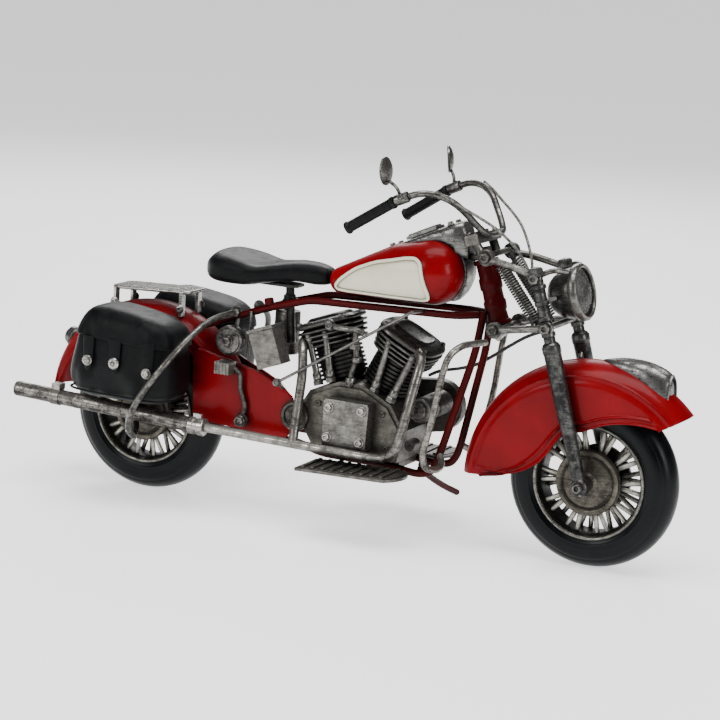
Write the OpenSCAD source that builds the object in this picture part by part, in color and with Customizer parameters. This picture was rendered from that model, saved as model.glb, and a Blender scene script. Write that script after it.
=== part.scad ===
// Tin display motorcycle with a V-twin engine, saddlebags and a springer fork.
// Millimetres. X points forward, Y to the rider's left and Z up.
// Places are written from the rear axle line. from_rear_axle() then moves them
// so that the origin lies under the middle of the whole machine.

/* [Wheels] */
// Outer diameter of both tyres
wheel_d = 90; // [88:1:91]
// Distance between the two axles
wheelbase = 260; // [259:1:262]
// Width of a tyre
tyre_w = 20; // [17:1:21]
// Diameter where the tyre sits on its rim
rim_seat_d = 60; // [58:1:62]
// Pairs of spokes in each face of a wheel
spoke_pairs = 10; // [8:1:11]
// Diameter of a brake drum
drum_d = 34; // [30:1:36]

/* [Steering] */
// Rake of the steering head from the vertical, in degrees
rake = 17; // [16:1:18]
// Half of the distance between the two fork legs
leg_y = 20.5; // [20:0.5:22]

/* [Fenders] */
// Outer radius of the rear fender's crown
rear_crown_r = 60; // [59:1:61]
// Outer radius of the front fender's crown
front_crown_r = 68.5; // [68:0.5:69]
// Half of the width of a fender
fender_half_w = 15.5; // [15:0.5:16]
// Thickness of the sheet metal
sheet_t = 1; // [0.8:0.1:1.2]

/* [Tubes] */
// Diameter of the frame tubes
frame_tube_d = 4; // [3.6:0.1:4.4]
// Diameter of the exhaust pipes
exhaust_d = 5; // [4.6:0.1:5.4]
// Diameter of the silencer
silencer_d = 8.2; // [7.8:0.1:8.6]
// Diameter of the handlebar and of the crash bars
bar_d = 3.4; // [3:0.1:3.8]

/* [Hidden] */
$fn = 40;
half_length = 120.3;
axle_r = 2;
axle_clearance = 0.05;
wheel_r = wheel_d / 2;
tyre_r = tyre_w / 2;
rim_seat_r = rim_seat_d / 2;
drum_r = drum_d / 2;
hub_r = 11;
head = [197.5, 0, 134];
stem_r = 3;
leg_x = 34;
axle_local_z = -103.4;
rail_y = 12;
exhaust_y = -31;
skirt_y = 17;
bag_in = 18.5;
bag_out = 55;
stand_tilt = 26;
kick_x = 67;
kick_z = 50.7;

// ---- places and simple shapes ----

module from_rear_axle() translate([-half_length, 0, 0]) children();

// Puts children in the steering frame: Z runs up the steering axis.
module in_steering_frame()
    from_rear_axle() translate(head) rotate([0, -rake, 0]) children();

// Puts children on the side stand's pivot, with Z up its tilted pin.
module in_stand_frame()
    from_rear_axle() translate([158, 17, 32.6]) rotate([-stand_tilt, 0, 0]) children();

// Puts children on an axle, with Z pointing to the rider's right.
module on_axle(x)
    from_rear_axle() translate([x, 0, wheel_r]) rotate([90, 0, 0]) children();

module both_sides() {
    children();
    mirror([0, 1, 0]) children();
}

// A straight round bar from a to b.
module bar(a, b, d) {
    v = b - a;
    len = norm(v);
    translate(a)
        rotate([0, acos(v.z / len), atan2(v.y, v.x)])
            cylinder(d = d, h = len);
}

// A bent bar: straight lengths with a slightly larger ball at each bend.
module bent_bar(path, d) {
    for (i = [0 : len(path) - 2])
        bar(path[i], path[i + 1], d);
    for (i = [1 : len(path) - 2])
        translate(path[i]) sphere(d = d * 1.06);
}

function unit(v) = v / norm(v);

// The direction of travel at point i of a route, the mean of its two sides.
function heading(path, i) =
    unit((i == 0 ? [0, 0, 0] : unit(path[i] - path[i - 1]))
        + (i == len(path) - 1 ? [0, 0, 0] : unit(path[i + 1] - path[i])));

// One smooth-walled tube along a route, with a ring of points at each of its
// points. across is any direction that the route never runs along.
module swept_bar(path, d, across = [0, 1, 0], sides = 12) {
    rings = len(path);
    points = [for (i = [0 : rings - 1])
        let (t = heading(path, i), u = unit(cross(t, across)), v = cross(t, u))
            for (k = [0 : sides - 1])
                let (a = k * 360 / sides)
                    path[i] + (u * cos(a) + v * sin(a)) * d / 2];
    walls = [for (i = [0 : rings - 2]) for (k = [0 : sides - 1])
        let (a = i * sides + k, b = i * sides + (k + 1) % sides)
            for (face = [[a, a + sides, b], [b, a + sides, b + sides]]) face];
    caps = [[for (k = [0 : sides - 1]) k],
        [for (k = [sides - 1 : -1 : 0]) (rings - 1) * sides + k]];
    polyhedron(points = points, faces = concat(walls, caps), convexity = 6);
}

// A disc on a sideways axis at (x, z), from y0 to y1.
module side_disc(x, z, y0, y1, r)
    translate([x, max(y0, y1), z]) rotate([90, 0, 0])
        cylinder(r = r, h = abs(y1 - y0));

// A hexagonal nut or bolt head on the same kind of axis.
module side_hex(x, z, y0, y1, d)
    translate([x, max(y0, y1), z]) rotate([90, 0, 0])
        cylinder(d = d, h = abs(y1 - y0), $fn = 6);

// A side view, given as x and z points, made solid from y0 to y1.
module side_plate(points, y0, y1)
    translate([0, max(y0, y1), 0]) rotate([90, 0, 0])
        linear_extrude(abs(y1 - y0)) polygon(points);

function mix(a, b, t) = a + (b - a) * t;

// ---- wheels ----

module tyre()
    rotate_extrude($fn = 96)
        difference() {
            translate([wheel_r - tyre_r, 0]) circle(r = tyre_r);
            translate([0, -tyre_w]) square([rim_seat_r, 2 * tyre_w]);
        }

// The rim ring, both faces of V-set spokes and the sleeve that they start on.
module spoked_rim() {
    lip = rim_seat_r - 0.05;
    rotate_extrude($fn = 96)
        polygon([[lip, -8.4], [lip, 8.4], [lip - 1.6, 8.4], [lip - 3.2, 6],
            [lip - 3.2, -6], [lip - 1.6, -8.4]]);
    difference() {
        cylinder(r = hub_r + 2, h = 12, center = true);
        cylinder(r = hub_r, h = 20, center = true);
    }
    for (face = [-1, 1])
        for (i = [0 : spoke_pairs - 1])
            for (side = [-1, 1]) {
                a = (i + (face + 1) / 4) * 360 / spoke_pairs;
                inner = a + side * 4;
                outer = a + side * 8;
                bar([(hub_r + 1) * cos(inner), (hub_r + 1) * sin(inner), face * 4.6],
                    [(lip - 2.2) * cos(outer), (lip - 2.2) * sin(outer), face * 4.6], 1.6);
            }
}

// Barrel with a drum on each end and a dished cover, bored for the axle.
module hub()
    difference() {
        rotate_extrude($fn = 72)
            polygon([[0, -13.5], [5, -13.5], [6, -12.8], [12, -11.2], [13, -10.4],
                [drum_r - 1, -10.4], [drum_r, -9.6], [drum_r, -7], [hub_r, -7],
                [hub_r, 7], [drum_r, 7], [drum_r, 9.6], [drum_r - 1, 10.4],
                [13, 10.4], [12, 11.2], [6, 12.8], [5, 13.5], [0, 13.5]]);
        cylinder(r = axle_r + axle_clearance, h = 40, center = true);
    }

module axle(half, nut_at) {
    cylinder(r = axle_r, h = 2 * half, center = true);
    for (s = [-1, 1])
        translate([0, 0, s * nut_at]) cylinder(d = 8, h = 2.6, center = true, $fn = 6);
}

module front_tyre() color("#1c2226") on_axle(wheelbase) tyre();
module front_rim() color("#8c8a82") on_axle(wheelbase) spoked_rim();
module front_hub() color("#8f8b80") on_axle(wheelbase) hub();
module rear_tyre() color("#1c2226") on_axle(0) tyre();
module rear_rim() color("#8c8a82") on_axle(0) spoked_rim();
module rear_hub() color("#8f8b80") on_axle(0) hub();
module rear_axle() color("silver") on_axle(0) axle(20.5, 19.4);
module front_axle() color("silver") on_axle(wheelbase) axle(26, 25.8);

// ---- frame ----

module head_tube() color("#54140f") in_steering_frame()
    difference() {
        union() {
            cylinder(r = 5.5, h = 34, center = true);
            for (z = [-16, 16]) translate([0, 0, z])
                cylinder(r = 6.5, h = 2, center = true);
        }
        cylinder(r = stem_r + axle_clearance, h = 40, center = true);
    }

module upper_rails() color("#6d1710") from_rear_axle() both_sides()
    swept_bar([[36, rail_y, 97], [74, rail_y, 111], [78, rail_y, 112.4],
        [98, rail_y, 118.2], [103, rail_y, 118.8], [176, rail_y, 121],
        [184, rail_y - 1, 121.3], [193, 5, 122]], frame_tube_d);

module down_tubes() color("#5a130d") {
    from_rear_axle() both_sides()
        swept_bar([[195.3, 4.6, 123.9], [194.4, 6.2, 113], [193, 7.2, 102],
            [180.4, 13.4, 50], [178, 14, 42], [175, 14, 37.6], [168, 14, 36],
            [150, 14, 38.2], [112, 14, 38.6], [98, 14, 42.6], [66, 14, 43]],
            frame_tube_d);
    in_stand_frame() {
        translate([0, 0, -0.7]) cylinder(r = 3, h = 4.2);
        translate([0, 0, -4.4]) cylinder(r = 1, h = 4.4);
        translate([0, 0, -5.4]) cylinder(d = 3.8, h = 1, $fn = 6);
    }
}

// Stays from the lower rails back to the flat plates that hold the axle.
module rear_stays() color("#5a130d") from_rear_axle() both_sides() {
    bar([68, 15.4, 43.4], [6, 15.8, 43.6], frame_tube_d - 1);
    difference() {
        union() {
            side_disc(0, wheel_r, 14.2, 17, 5.5);
            side_plate([[0, 40], [12, 38.5], [12, 44.5], [0, 50]], 14.4, 16.6);
        }
        side_disc(0, wheel_r, 10, 20, axle_r);
    }
}

module seat_post() color("#5f5d57") from_rear_axle() {
    bar([81.5, 0, 122.6], [84, 0, 92], 5);
    translate([82, 0, 115]) cylinder(d = 8, h = 4, center = true);
    translate([81.8, 0, 115]) cube([7, 26, 3], center = true);
    translate([66, 0, 121.4]) cube([46, 12, 1.6], center = true);
}

// ---- fenders ----

// A crowned shell round an axle: an arched section turned about it.
module crowned_shell(crown_r, side_r, half_w) {
    n = 8;
    arch = function(grow)
        [for (i = [-n : n])
            let (a = i * 90 / n)
                [side_r + (crown_r - side_r + grow) * cos(a),
                    (half_w + grow) * sin(a)]];
    rotate_extrude($fn = 96)
        difference() {
            polygon(concat([[18, -half_w]], arch(0), [[18, half_w]]));
            polygon(concat([[17, -half_w + sheet_t]], arch(-sheet_t),
                [[17, half_w - sheet_t]]));
        }
}

// Keeps the part of an upright shell that lies over a side outline.
module trimmed_to(points)
    intersection() {
        children();
        side_plate(points, -30, 30);
    }

rear_outline = concat(
    [[-63, 50], [-53, 49.5]],
    [for (a = [168 : -12 : 36]) [50 * cos(a), wheel_r + 50 * sin(a)]],
    [[46, 66], [49, 53], [64, 53], [64, 62], [60, 74], [44, 98], [20, 112],
        [-30, 112], [-66, 80]]);

module rear_fender() color("#a3150f") from_rear_axle()
    trimmed_to(rear_outline)
        translate([0, 0, wheel_r]) rotate([90, 0, 0])
            crowned_shell(rear_crown_r, 49, fender_half_w);

// The fender's centre lies behind and below the axle, so it flares at its tips.
fender_x = wheelbase - 1.6;
fender_z = wheel_r - 6.7;

front_outline = [[188, 40], [204, 41.6], [214, 43.4], [224, 46.4], [232.5, 51],
    [239, 57.6], [243.4, 64.6], [248, 70], [257, 72.2], [266.5, 76.4], [277, 79],
    [288, 79.6], [298, 78.4], [304, 78], [308.7, 79.6], [308.7, 112], [188, 112]];

module front_fender() color("#a3150f") from_rear_axle()
    trimmed_to(front_outline)
        translate([fender_x, 0, fender_z]) rotate([90, 0, 0])
            crowned_shell(front_crown_r, 56, fender_half_w);

module side_skirts() color("#a3150f") from_rear_axle() {
    both_sides()
        difference() {
            side_plate([[38, 47], [92, 44], [95, 50], [95, 67], [84, 74], [68, 78.5],
                [50, 80], [38, 83]], skirt_y - 0.8, skirt_y + 0.6);
            side_disc(98.5, 57.7, 10, 20, 8.4);
        }
    side_disc(kick_x, kick_z, -skirt_y, -23.6, 1.5);
    side_hex(kick_x, kick_z, -22.4, -25, 5.6);
}

// ---- rear equipment ----

module luggage_rack() color("#aaa79c") from_rear_axle() {
    translate([1.7, 0, 111.8]) rotate([0, -2.5, 0]) {
        for (y = [-9.4, 9.4]) bar([-24, y, 0], [24, y, 0], 2);
        for (x = [-24, 24]) bar([x, -9.4, 0], [x, 9.4, 0], 2);
        for (i = [-2 : 2])
            translate([0, i * 3.2, 0.5]) cube([47, 1.6, 1], center = true);
    }
    both_sides() {
        bar([-20, 9.4, 110.6], [-20, 9.2, 99.6], 1.8);
        bar([21.5, 9.4, 112.4], [21.5, 9.2, 100.2], 1.8);
        translate([21.5, 9.2, 103.4]) cylinder(d = 4.4, h = 2, $fn = 6);
        translate([-20, 9.2, 102.6]) cylinder(d = 4.4, h = 2, $fn = 6);
    }
}

module tail_lamp() color("#8f8b80") from_rear_axle()
    translate([-47.5, 0, 76]) rotate([0, -66, 0])
        rotate_extrude()
            polygon([[0, 0], [4, 0], [5.6, 2], [5.6, 6], [4.8, 6.6], [4.4, 7.6],
                [2.6, 8.6], [0, 9]]);

module bag()
    hull()
        for (p = [[-14, 64], [-6, 99], [31, 62], [30, 93.6]])
            for (y = [bag_in + 5, bag_out - 5])
                translate([p[0], y, p[1]]) sphere(r = 5, $fn = 20);

module saddlebag_left() color("#15181b") from_rear_axle() bag();
module saddlebag_right() color("#15181b") from_rear_axle() mirror([0, 1, 0]) bag();

module bag_studs() color("#c9c6bb") from_rear_axle() both_sides() {
    side_hex(-8, 78.6, bag_out - 0.4, bag_out + 1.2, 4.6);
    side_disc(8.5, 79, bag_out - 0.4, bag_out + 1.2, 3.4);
    side_hex(28.5, 76, bag_out - 0.4, bag_out + 1.2, 4.6);
}

module bag_guards() color("#98958b") from_rear_axle() both_sides() {
    bent_bar([[57, 13, 107], [50, 30, 104], [45.5, 48, 93.5], [37.4, 58.6, 79.8],
        [25, 59.6, 62.2], [16.5, 55, 46.8], [13, 41, 36.5], [6, 26, 38],
        [1.5, 19.6, 43.5]], bar_d);
    side_disc(57, 107, 12, 15, 3.2);
}

// ---- exhaust ----

module silencer() color("#9b988f") from_rear_axle() {
    difference() {
        bar([-68, exhaust_y, 50.8], [46, exhaust_y, 46.4], silencer_d);
        bar([-69, exhaust_y, 50.8], [-40, exhaust_y, 49.7], silencer_d - 1.6);
    }
    translate([-42, exhaust_y + 1, 55.4]) cube([5, 6, 3.4], center = true);
}

module exhaust_clamp() color("#c2bfb4") from_rear_axle()
    difference() {
        bar([42, exhaust_y, 46.55], [51, exhaust_y, 46.2], silencer_d + 1.6);
        bar([41, exhaust_y, 46.6], [46, exhaust_y, 46.4], silencer_d);
        bar([45, exhaust_y, 46.43], [52, exhaust_y, 46.16], exhaust_d);
    }

module front_header() color("#8c8981") from_rear_axle()
    swept_bar([[46, exhaust_y, 46.4], [148, exhaust_y, 44.6], [155, exhaust_y, 45.2],
        [160.4, exhaust_y, 48], [163, -30.6, 54], [165.6, -28, 68], [167.6, -24, 84],
        [168.4, -20, 94], [167.6, -17, 98], [165, -13, 99.4]], exhaust_d, [0.3, 1, 0.3]);

module rear_header() color("#8c8981") from_rear_axle()
    swept_bar([[103.5, exhaust_y, 45.6], [103, -28.6, 54], [103, -26, 66],
        [103.4, -24, 80], [102.4, -22, 87], [100, -18, 93], [97.4, -13, 96.6],
        [96.6, -11, 97.4]],
        exhaust_d, [1, 0, 0]);

// ---- seat and boxes ----

module seat() color("#16191c") from_rear_axle()
    hull() {
        for (y = [-14.6, 14.6]) {
            translate([42.2, y, 129.6]) sphere(r = 6.6, $fn = 24);
            translate([66, y * 0.93, 130.3]) sphere(r = 7.3, $fn = 24);
        }
        translate([45, 0, 133.4]) sphere(r = 6.1, $fn = 24);
        translate([104, 0, 130.7]) sphere(r = 5.3, $fn = 24);
    }

module battery_box() color("#7f7c74") from_rear_axle() {
    translate([79.5, -16.5, 91.4]) rotate([0, -20, 0]) {
        cube([14.6, 11, 20], center = true);
        translate([0, 0, 10.5]) cube([15.8, 12.2, 1.4], center = true);
    }
    both_sides() bar([67, 15, 109], [66, 15, 84], 1.6);
    translate([74, 15, 95]) cylinder(d = 13, h = 24, center = true);
}

module horn() color("#8f8b80") from_rear_axle() {
    side_disc(57.3, 92.6, -16, -21.4, 8.1);
    side_disc(57.3, 92.6, -21, -22.6, 6.4);
    side_hex(57.3, 92.6, -22, -24.8, 5.2);
    bar([57.3, -17, 92.6], [58, -12, 105.6], 2.2);
}

// ---- engine ----

module crankcase() color("#6f6d66") from_rear_axle() {
    difference() {
        side_plate([[110, 41], [158, 41], [161, 58], [153, 71], [136, 79.4],
            [123, 79.4], [106, 72.6], [98, 60]], -19, 19);
        at_rear_bore() bore_pocket();
        at_front_bore() bore_pocket();
    }
    side_disc(98.5, 57.7, -12, -21.5, 8);
    side_hex(98.5, 57.7, -21, -23, 4);
    side_disc(165, 51.6, -19.6, -12, 3);
    translate([134, 0, 39]) cube([44, 22, 6], center = true);
}

module timing_cover() color("#8d8a81") from_rear_axle() {
    side_plate([[118.5, 47.5], [119.5, 46.4], [142.5, 46.2], [143.6, 47.4],
        [144.6, 70], [143.4, 71.4], [119.6, 71.4], [118.4, 70]], -19, -28);
    for (p = [[121.8, 67], [140.6, 67.4], [121.4, 51.4], [140.2, 51]])
        side_hex(p[0], p[1], -27.6, -30, 4.4);
}

module primary_cover() color("#7b7870") from_rear_axle()
    difference() {
        union() {
            side_disc(112, 58, 19, 26, 17);
            side_disc(163, 66, 19, 25, 14);
            side_plate([[112, 41], [163, 52], [165, 79.8], [114, 75]], 19, 25);
        }
        side_disc(163, 66, 23.4, 26, 10.5);
    }

module generator() color("#7f7c73") from_rear_axle() {
    side_disc(168.6, 70.2, -18.4, 12, 6.4);
    side_disc(168.6, 70.2, -20, -18, 4.4);
}

// A finned barrel that stands on the crankcase, with Z along its bore.
module finned_barrel() {
    cylinder(r = 9, h = 23.6);
    for (i = [0 : 5])
        translate([0, 0, 7.6 + i * 2.8]) cylinder(r = 12.6, h = 1.4);
}

// What the barrel takes out of the crankcase, a little wider at its fins.
module bore_pocket() {
    cylinder(r = 9.02, h = 40);
    translate([0, 0, 7.2]) cylinder(r = 13, h = 40);
}

// A rocker box with a rounded outline, joint flange and two domed covers.
module rocker_box() {
    translate([0, 0, 26.2]) {
        intersection() {
            cube([31, 26, 5], center = true);
            cylinder(r = 15.4, h = 6, center = true);
        }
        translate([0, 0, 2]) linear_extrude(7.4)
            polygon([[-13.5, -8], [-9, -11.5], [9, -11.5], [13.5, -8],
                [13.5, 8], [9, 11.5], [-9, 11.5], [-13.5, 8]]);
        for (x = [-7, 7]) translate([x, 0, 9]) cylinder(r = 5, h = 1.8);
    }
}

module at_rear_bore() translate([118.6, 0, 75.4]) rotate([0, -20, 0]) children();
module at_front_bore() translate([139.4, 0, 74.6]) rotate([0, 27, 0]) children();

module rear_cylinder() color("#5b5953") from_rear_axle()
    at_rear_bore() finned_barrel();
module front_cylinder() color("#5b5953") from_rear_axle()
    at_front_bore() finned_barrel();
module rear_head() color("#85827a") from_rear_axle() at_rear_bore() rocker_box();
module front_head() color("#85827a") from_rear_axle() at_front_bore() rocker_box();

module pushrod_tube(a, b) {
    bar(a, b, 3);
    bar(a, mix(a, b, 0.16), 4.6);
    bar(mix(a, b, 0.84), b, 4.2);
}

module pushrod_tubes() color("#a19e95") from_rear_axle() {
    pushrod_tube([108.5, -15.6, 78], [100.6, -13, 101]);
    pushrod_tube([116, -15.6, 80.6], [110.6, -13.4, 104]);
    pushrod_tube([142, -15.6, 78.6], [148, -13.4, 104]);
    pushrod_tube([152, -15.6, 75], [162, -13, 98.6]);
}

module intake_pipe() color("#9b988e") from_rear_axle() {
    bent_bar([[113, -15.5, 108.5], [121, -17, 107], [131, -17, 107.5],
        [129.4, -17, 100], [131, -17.4, 92], [128.6, -18, 82], [128.4, -18, 80.6]], 3);
    bar([129.3, -17, 100.5], [129.6, -17, 97.5], 5);
    bar([129.2, -17.9, 84], [128.7, -18, 81.8], 5.2);
    bar([114, -15.6, 108.3], [116.4, -16, 107.9], 5.4);
}

module shift_rod() color("#8b887f") from_rear_axle() {
    bar([91, -28.2, 76], [165.5, -27, 123], 1.6);
    side_hex(91, 76, -27, -29.6, 4.6);
    bar([91, -28, 76], [89, -17.2, 71], 1.8);
    bar([165, -27.4, 122.6], [165, -13, 121.4], 1.8);
}

// ---- tank ----

module tank_body(grow)
    hull()
        for (y = [-5.6, 5.6]) {
            translate([167, y, 141.3]) sphere(r = 17 + grow, $fn = 40);
            translate([151, y, 139.3]) sphere(r = 15.4 + grow, $fn = 40);
            translate([116, y * 1.1, 130.8]) sphere(r = 7.4 + grow, $fn = 32);
        }

module around_the_head(r)
    translate(head) rotate([0, -rake, 0]) cylinder(r = r, h = 90, center = true);

module fuel_tank() color("#a3150f") from_rear_axle()
    difference() {
        tank_body(0);
        translate([90, -40, 90]) cube([120, 80, 34.4]);
        around_the_head(8.8);
    }

insert_outline = [[113.6, 128], [117, 132.6], [126, 139.4], [138, 144.4],
    [157, 149], [163, 149.6], [166, 147.4], [168.4, 139], [170.6, 131.4],
    [169.4, 128], [166, 127], [132, 125.6], [117.4, 126.4]];

module tank_inserts() color("#e9e2cc") from_rear_axle()
    intersection() {
        difference() {
            tank_body(0.9);
            tank_body(0);
            translate([100, -7, 100]) cube([90, 14, 80]);
        }
        side_plate(insert_outline, -40, 40);
    }

module tank_console() color("#a9a69b") from_rear_axle()
    difference() {
        hull() {
            translate([139, 0, 146.4]) sphere(r = 3, $fn = 20);
            translate([152, 0, 152]) rotate([0, -24, 0])
                cylinder(r = 9.5, h = 5, center = true, $fn = 32);
            translate([173.5, 0, 161.5]) rotate([0, -24, 0])
                cylinder(r = 9, h = 9, center = true, $fn = 32);
        }
        tank_body(0);
        around_the_head(8.8);
    }

// ---- boards and guards ----

module footboards() color("#77746b") from_rear_axle() both_sides() {
    translate([141, 33.5, 37]) rotate([0, -1.5, 0]) {
        intersection() {
            cube([56, 27, 1.6], center = true);
            union() {
                translate([-14, 0, 0]) cube([44, 40, 4], center = true);
                translate([12, 0, 0]) cylinder(r = 17, h = 4, center = true);
            }
        }
        for (i = [0 : 7])
            translate([-24 + i * 6, 0, 1.2]) cube([1.6, 21, 1.2], center = true);
    }
    bar([125, 14.6, 36.4], [125, 30, 35.2], 2.4);
    bar([151, 14.6, 36], [151, 30, 35.4], 2.4);
}

module crash_bars() color("#a5a298") from_rear_axle() both_sides()
    bent_bar([[199, 8, 109], [195, 29, 110], [191, 36.5, 105.5], [188.7, 38.5, 95],
        [185.7, 40, 72], [181.4, 40, 53], [182, 37.6, 45.6], [185.4, 30, 43.6],
        [184.4, 20, 44.4], [180.6, 14.5, 48]], bar_d);

// ---- fork and handlebar ----

module steering_yokes() color("#8b887f") in_steering_frame() {
    cylinder(r = stem_r, h = 44, center = true);
    translate([0, 0, 17.3]) cylinder(r = 7.4, h = 3.2);
    translate([0, 0, -20.5]) cylinder(r = 7.4, h = 3.2);
    translate([0, 0, 20.4]) cylinder(d = 9, h = 3, $fn = 6);
    both_sides() {
        bar([2, 4, 18.9], [8, 15.4, 18.9], 3);
        bar([2, 4, -18.9], [4, 15.4, -18.9], 3);
        side_hex(8, 18.4, 13.4, 17.6, 5);
        side_hex(4, -18.4, 13.4, 17.6, 5);
        bar([3, 10, 18.9], [1, 11.6, 27], 5);
    }
    translate([1, 0, 28.2]) cube([7.4, 30, 5], center = true);
}

module fork_legs() color("#8f8c84") in_steering_frame() both_sides() {
    translate([leg_x, leg_y, -32]) cylinder(d = 6, h = 39);
    for (z = [-26, -18, -10, -2])
        translate([leg_x, leg_y, z]) cylinder(d = 7.4, h = 2);
    translate([leg_x, leg_y, 5.6]) cylinder(d = 8.4, h = 3.4, $fn = 6);
    difference() {
        union() {
            translate([leg_x, leg_y, axle_local_z]) cylinder(d = 7.6, h = 74);
            translate([leg_x, leg_y - 3.6, axle_local_z]) rotate([-90, 0, 0])
                cylinder(d = 10, h = 7.2);
        }
        translate([leg_x, 0, axle_local_z]) rotate([-90, 0, 0])
            cylinder(r = axle_r, h = 40);
    }
}

// The arms that carry the legs and the lamp ahead of the steering head.
module fork_links() color("#83807a") in_steering_frame() both_sides() {
    bar([8, 16, 17], [leg_x - 1, leg_y - 0.4, 6], 4);
    bar([4, 16, -18.6], [leg_x - 1, leg_y - 0.4, -22], 4);
    bar([leg_x, leg_y, -22], [leg_x, 0, -22], 3.4);
    side_hex(leg_x, -22, leg_y + 2, leg_y + 5.4, 5.4);
    bar([leg_x - 2, leg_y, -9], [leg_x + 4.4, 12, -8.6], 2.4);
    bar([leg_x, leg_y - 1, -38], [leg_x, 14.8, -43], 3);
}

// A stack of rings stands for each coil, on a rod through its middle.
module coil(a, b, d, wire, turns) {
    v = b - a;
    translate(a) rotate([0, acos(v.z / norm(v)), atan2(v.y, v.x)]) {
        cylinder(d = d - 2.2 * wire, h = norm(v));
        for (i = [0 : turns])
            translate([0, 0, i * norm(v) / turns - wire / 2])
                cylinder(d = d, h = wire * 0.96);
    }
}

module fork_springs() color("#6b6963") in_steering_frame() both_sides() {
    coil([11.5, 9.6, 13], [24.5, 9.6, -19], 6.4, 1.2, 16);
    bar([11.2, 9.6, 13.6], [9.8, 9.6, 17], 2.6);
    bar([24.5, 9.6, -19], [25, 9.6, -21.6], 2.6);
}

// The left half of the handlebar, from its middle to the end of the grip.
half_bar = [[197.4, 6, 163.6], [196.6, 11, 164.6], [193.5, 15.5, 168.6],
    [189.4, 19, 174], [184, 24.4, 180.4], [177, 28.8, 184], [168.6, 31.8, 184.8],
    [157, 33.4, 180.4], [131, 35.4, 163.4]];

module handlebar() color("#b3b0a6") from_rear_axle()
    swept_bar(concat([for (i = [len(half_bar) - 1 : -1 : 0])
        [half_bar[i].x, -half_bar[i].y, half_bar[i].z]], half_bar),
        bar_d, [1, 0.1, -0.3]);

module grips() color("#1b1c1e") from_rear_axle() both_sides()
    difference() {
        union() {
            bar([154.6, 33.6, 178.8], [130, 35.5, 162.7], 5.6);
            bar([131.4, 35.4, 163.7], [129.4, 35.6, 162.3], 6.8);
        }
        bar([156, 33.5, 179.7], [131, 35.4, 163.4], bar_d);
    }

// Stem, clamp and round head of a mirror on the left; turn aims it inward.
module one_mirror(turn) {
    bar([158, 33.3, 180.6], [156.6, 36, 187], 1.8);
    bar([156.8, 35.8, 186.6], [152.4, 38.8, 190], 1.8);
    difference() {
        bar([162, 32.8, 182.4], [154.8, 33.6, 179.1], 5.6);
        bar([163, 32.6, 182.8], [154, 33.8, 178.6], bar_d + 0.6);
    }
    translate([151.4, 39.4, 194.6]) rotate([0, 84, turn]) {
        cylinder(r = 7.2, h = 1.4, center = true);
        translate([0, 0, 0.4]) cylinder(r1 = 6.6, r2 = 3, h = 2.2);
    }
}

module mirrors() color("#b9b6ac") from_rear_axle() {
    one_mirror(24);
    mirror([0, 1, 0]) one_mirror(-2);
}

// Brake and throttle lines held by the bar and by the top of the fork.
module bar_cables() color("#a8a59b") from_rear_axle() both_sides()
    swept_bar([[176, 30.4, 186.2], [184, 27.4, 183.4], [192, 22.6, 177],
        [199, 18.4, 171.6], [206, 13.6, 164.6], [211.6, 9, 157], [215, 5, 151],
        [217.4, 1.6, 146]], 1.5, [1, 0.2, 0.9], 8);

module brake_cable() color("#2b2b2c") from_rear_axle()
    swept_bar([[161.6, 8, 84], [168, 8, 87.6], [178, 9, 89.6], [187, 11, 92.6],
        [196, 12.5, 98.8], [205, 13.5, 105.6], [213, 14, 111], [221, 14.4, 114.4]],
        1.8, [0, 1, 0.2], 8);

// ---- headlamp ----

module on_lamp_axis()
    from_rear_axle() translate([246.4, 0, 140]) rotate([0, 90 - 14, 0]) children();

module headlamp_bowl() color("#8b8880") on_lamp_axis()
    difference() {
        rotate_extrude($fn = 60)
            polygon([[0, -18], [5, -17.4], [9, -15], [11.6, -11], [13, -6],
                [13.4, -2.4], [0, -2.4]]);
        rotate_extrude($fn = 60)
            polygon([[0, -12], [6, -11], [10, -7], [12.2, -2], [0, -2]]);
    }

module headlamp_rim() color("#a7a499") on_lamp_axis()
    rotate_extrude($fn = 60)
        polygon([[12.2, -2.4], [14, -2.4], [14.6, -0.6], [14.2, 1], [13, 1.8],
            [12, 1]]);

module headlamp_lens() color("#b9b9b2") on_lamp_axis()
    rotate_extrude($fn = 60)
        polygon([[0, -0.4], [11.9, -1.6], [11.9, 0], [8, 1.8], [4, 2.8], [0, 3.2]]);

module fender_lamp() color("#b0ada3") from_rear_axle()
    difference() {
        hull() {
            translate([262, 0, 106]) sphere(r = 1.8, $fn = 20);
            translate([276, 0, 103.6]) sphere(r = 5.2, $fn = 24);
            translate([291.6, 0, 97.6]) rotate([0, 74, 0])
                cylinder(r = 7.4, h = 8, center = true, $fn = 32);
        }
        translate([fender_x, 0, fender_z]) rotate([90, 0, 0])
            cylinder(r = front_crown_r - 0.3, h = 60, center = true, $fn = 360);
    }

// ---- stand ----

module side_stand() color("#3f1512") in_stand_frame()
    difference() {
        union() {
            translate([0, 0, -3.8]) cylinder(r = 3, h = 2.8);
            bar([0, 1, -2.4], [0.4, 17, -2.8], 2.8);
            bar([0.4, 16.6, -2.8], [1.8, 32, -2.8], 2.9);
            bar([1.8, 31.6, -2.8], [4, 45, -2.2], 3);
        }
        translate([0, 0, -8]) cylinder(r = 1 + axle_clearance, h = 16);
    }

// The kick lever's arm turns on its stud; a ribbed block is its pedal.
module kick_lever() color("#8b887f") from_rear_axle() {
    difference() {
        side_disc(kick_x, kick_z, -18.2, -21, 3.4);
        side_disc(kick_x, kick_z, -17, -22.3, 1.5 + axle_clearance);
    }
    bar([67.2, -19.6, 53], [68.6, -19.6, 58.6], 2.6);
    bar([68.6, -19.6, 58], [65.2, -20, 67], 2.5);
    bar([65.2, -20, 66.6], [65.4, -20.6, 75.6], 2.4);
    bar([65.4, -20.6, 75], [61.6, -22.6, 79.4], 2.4);
    translate([58, -25, 79]) cube([9, 8, 6.6], center = true);
}

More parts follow.
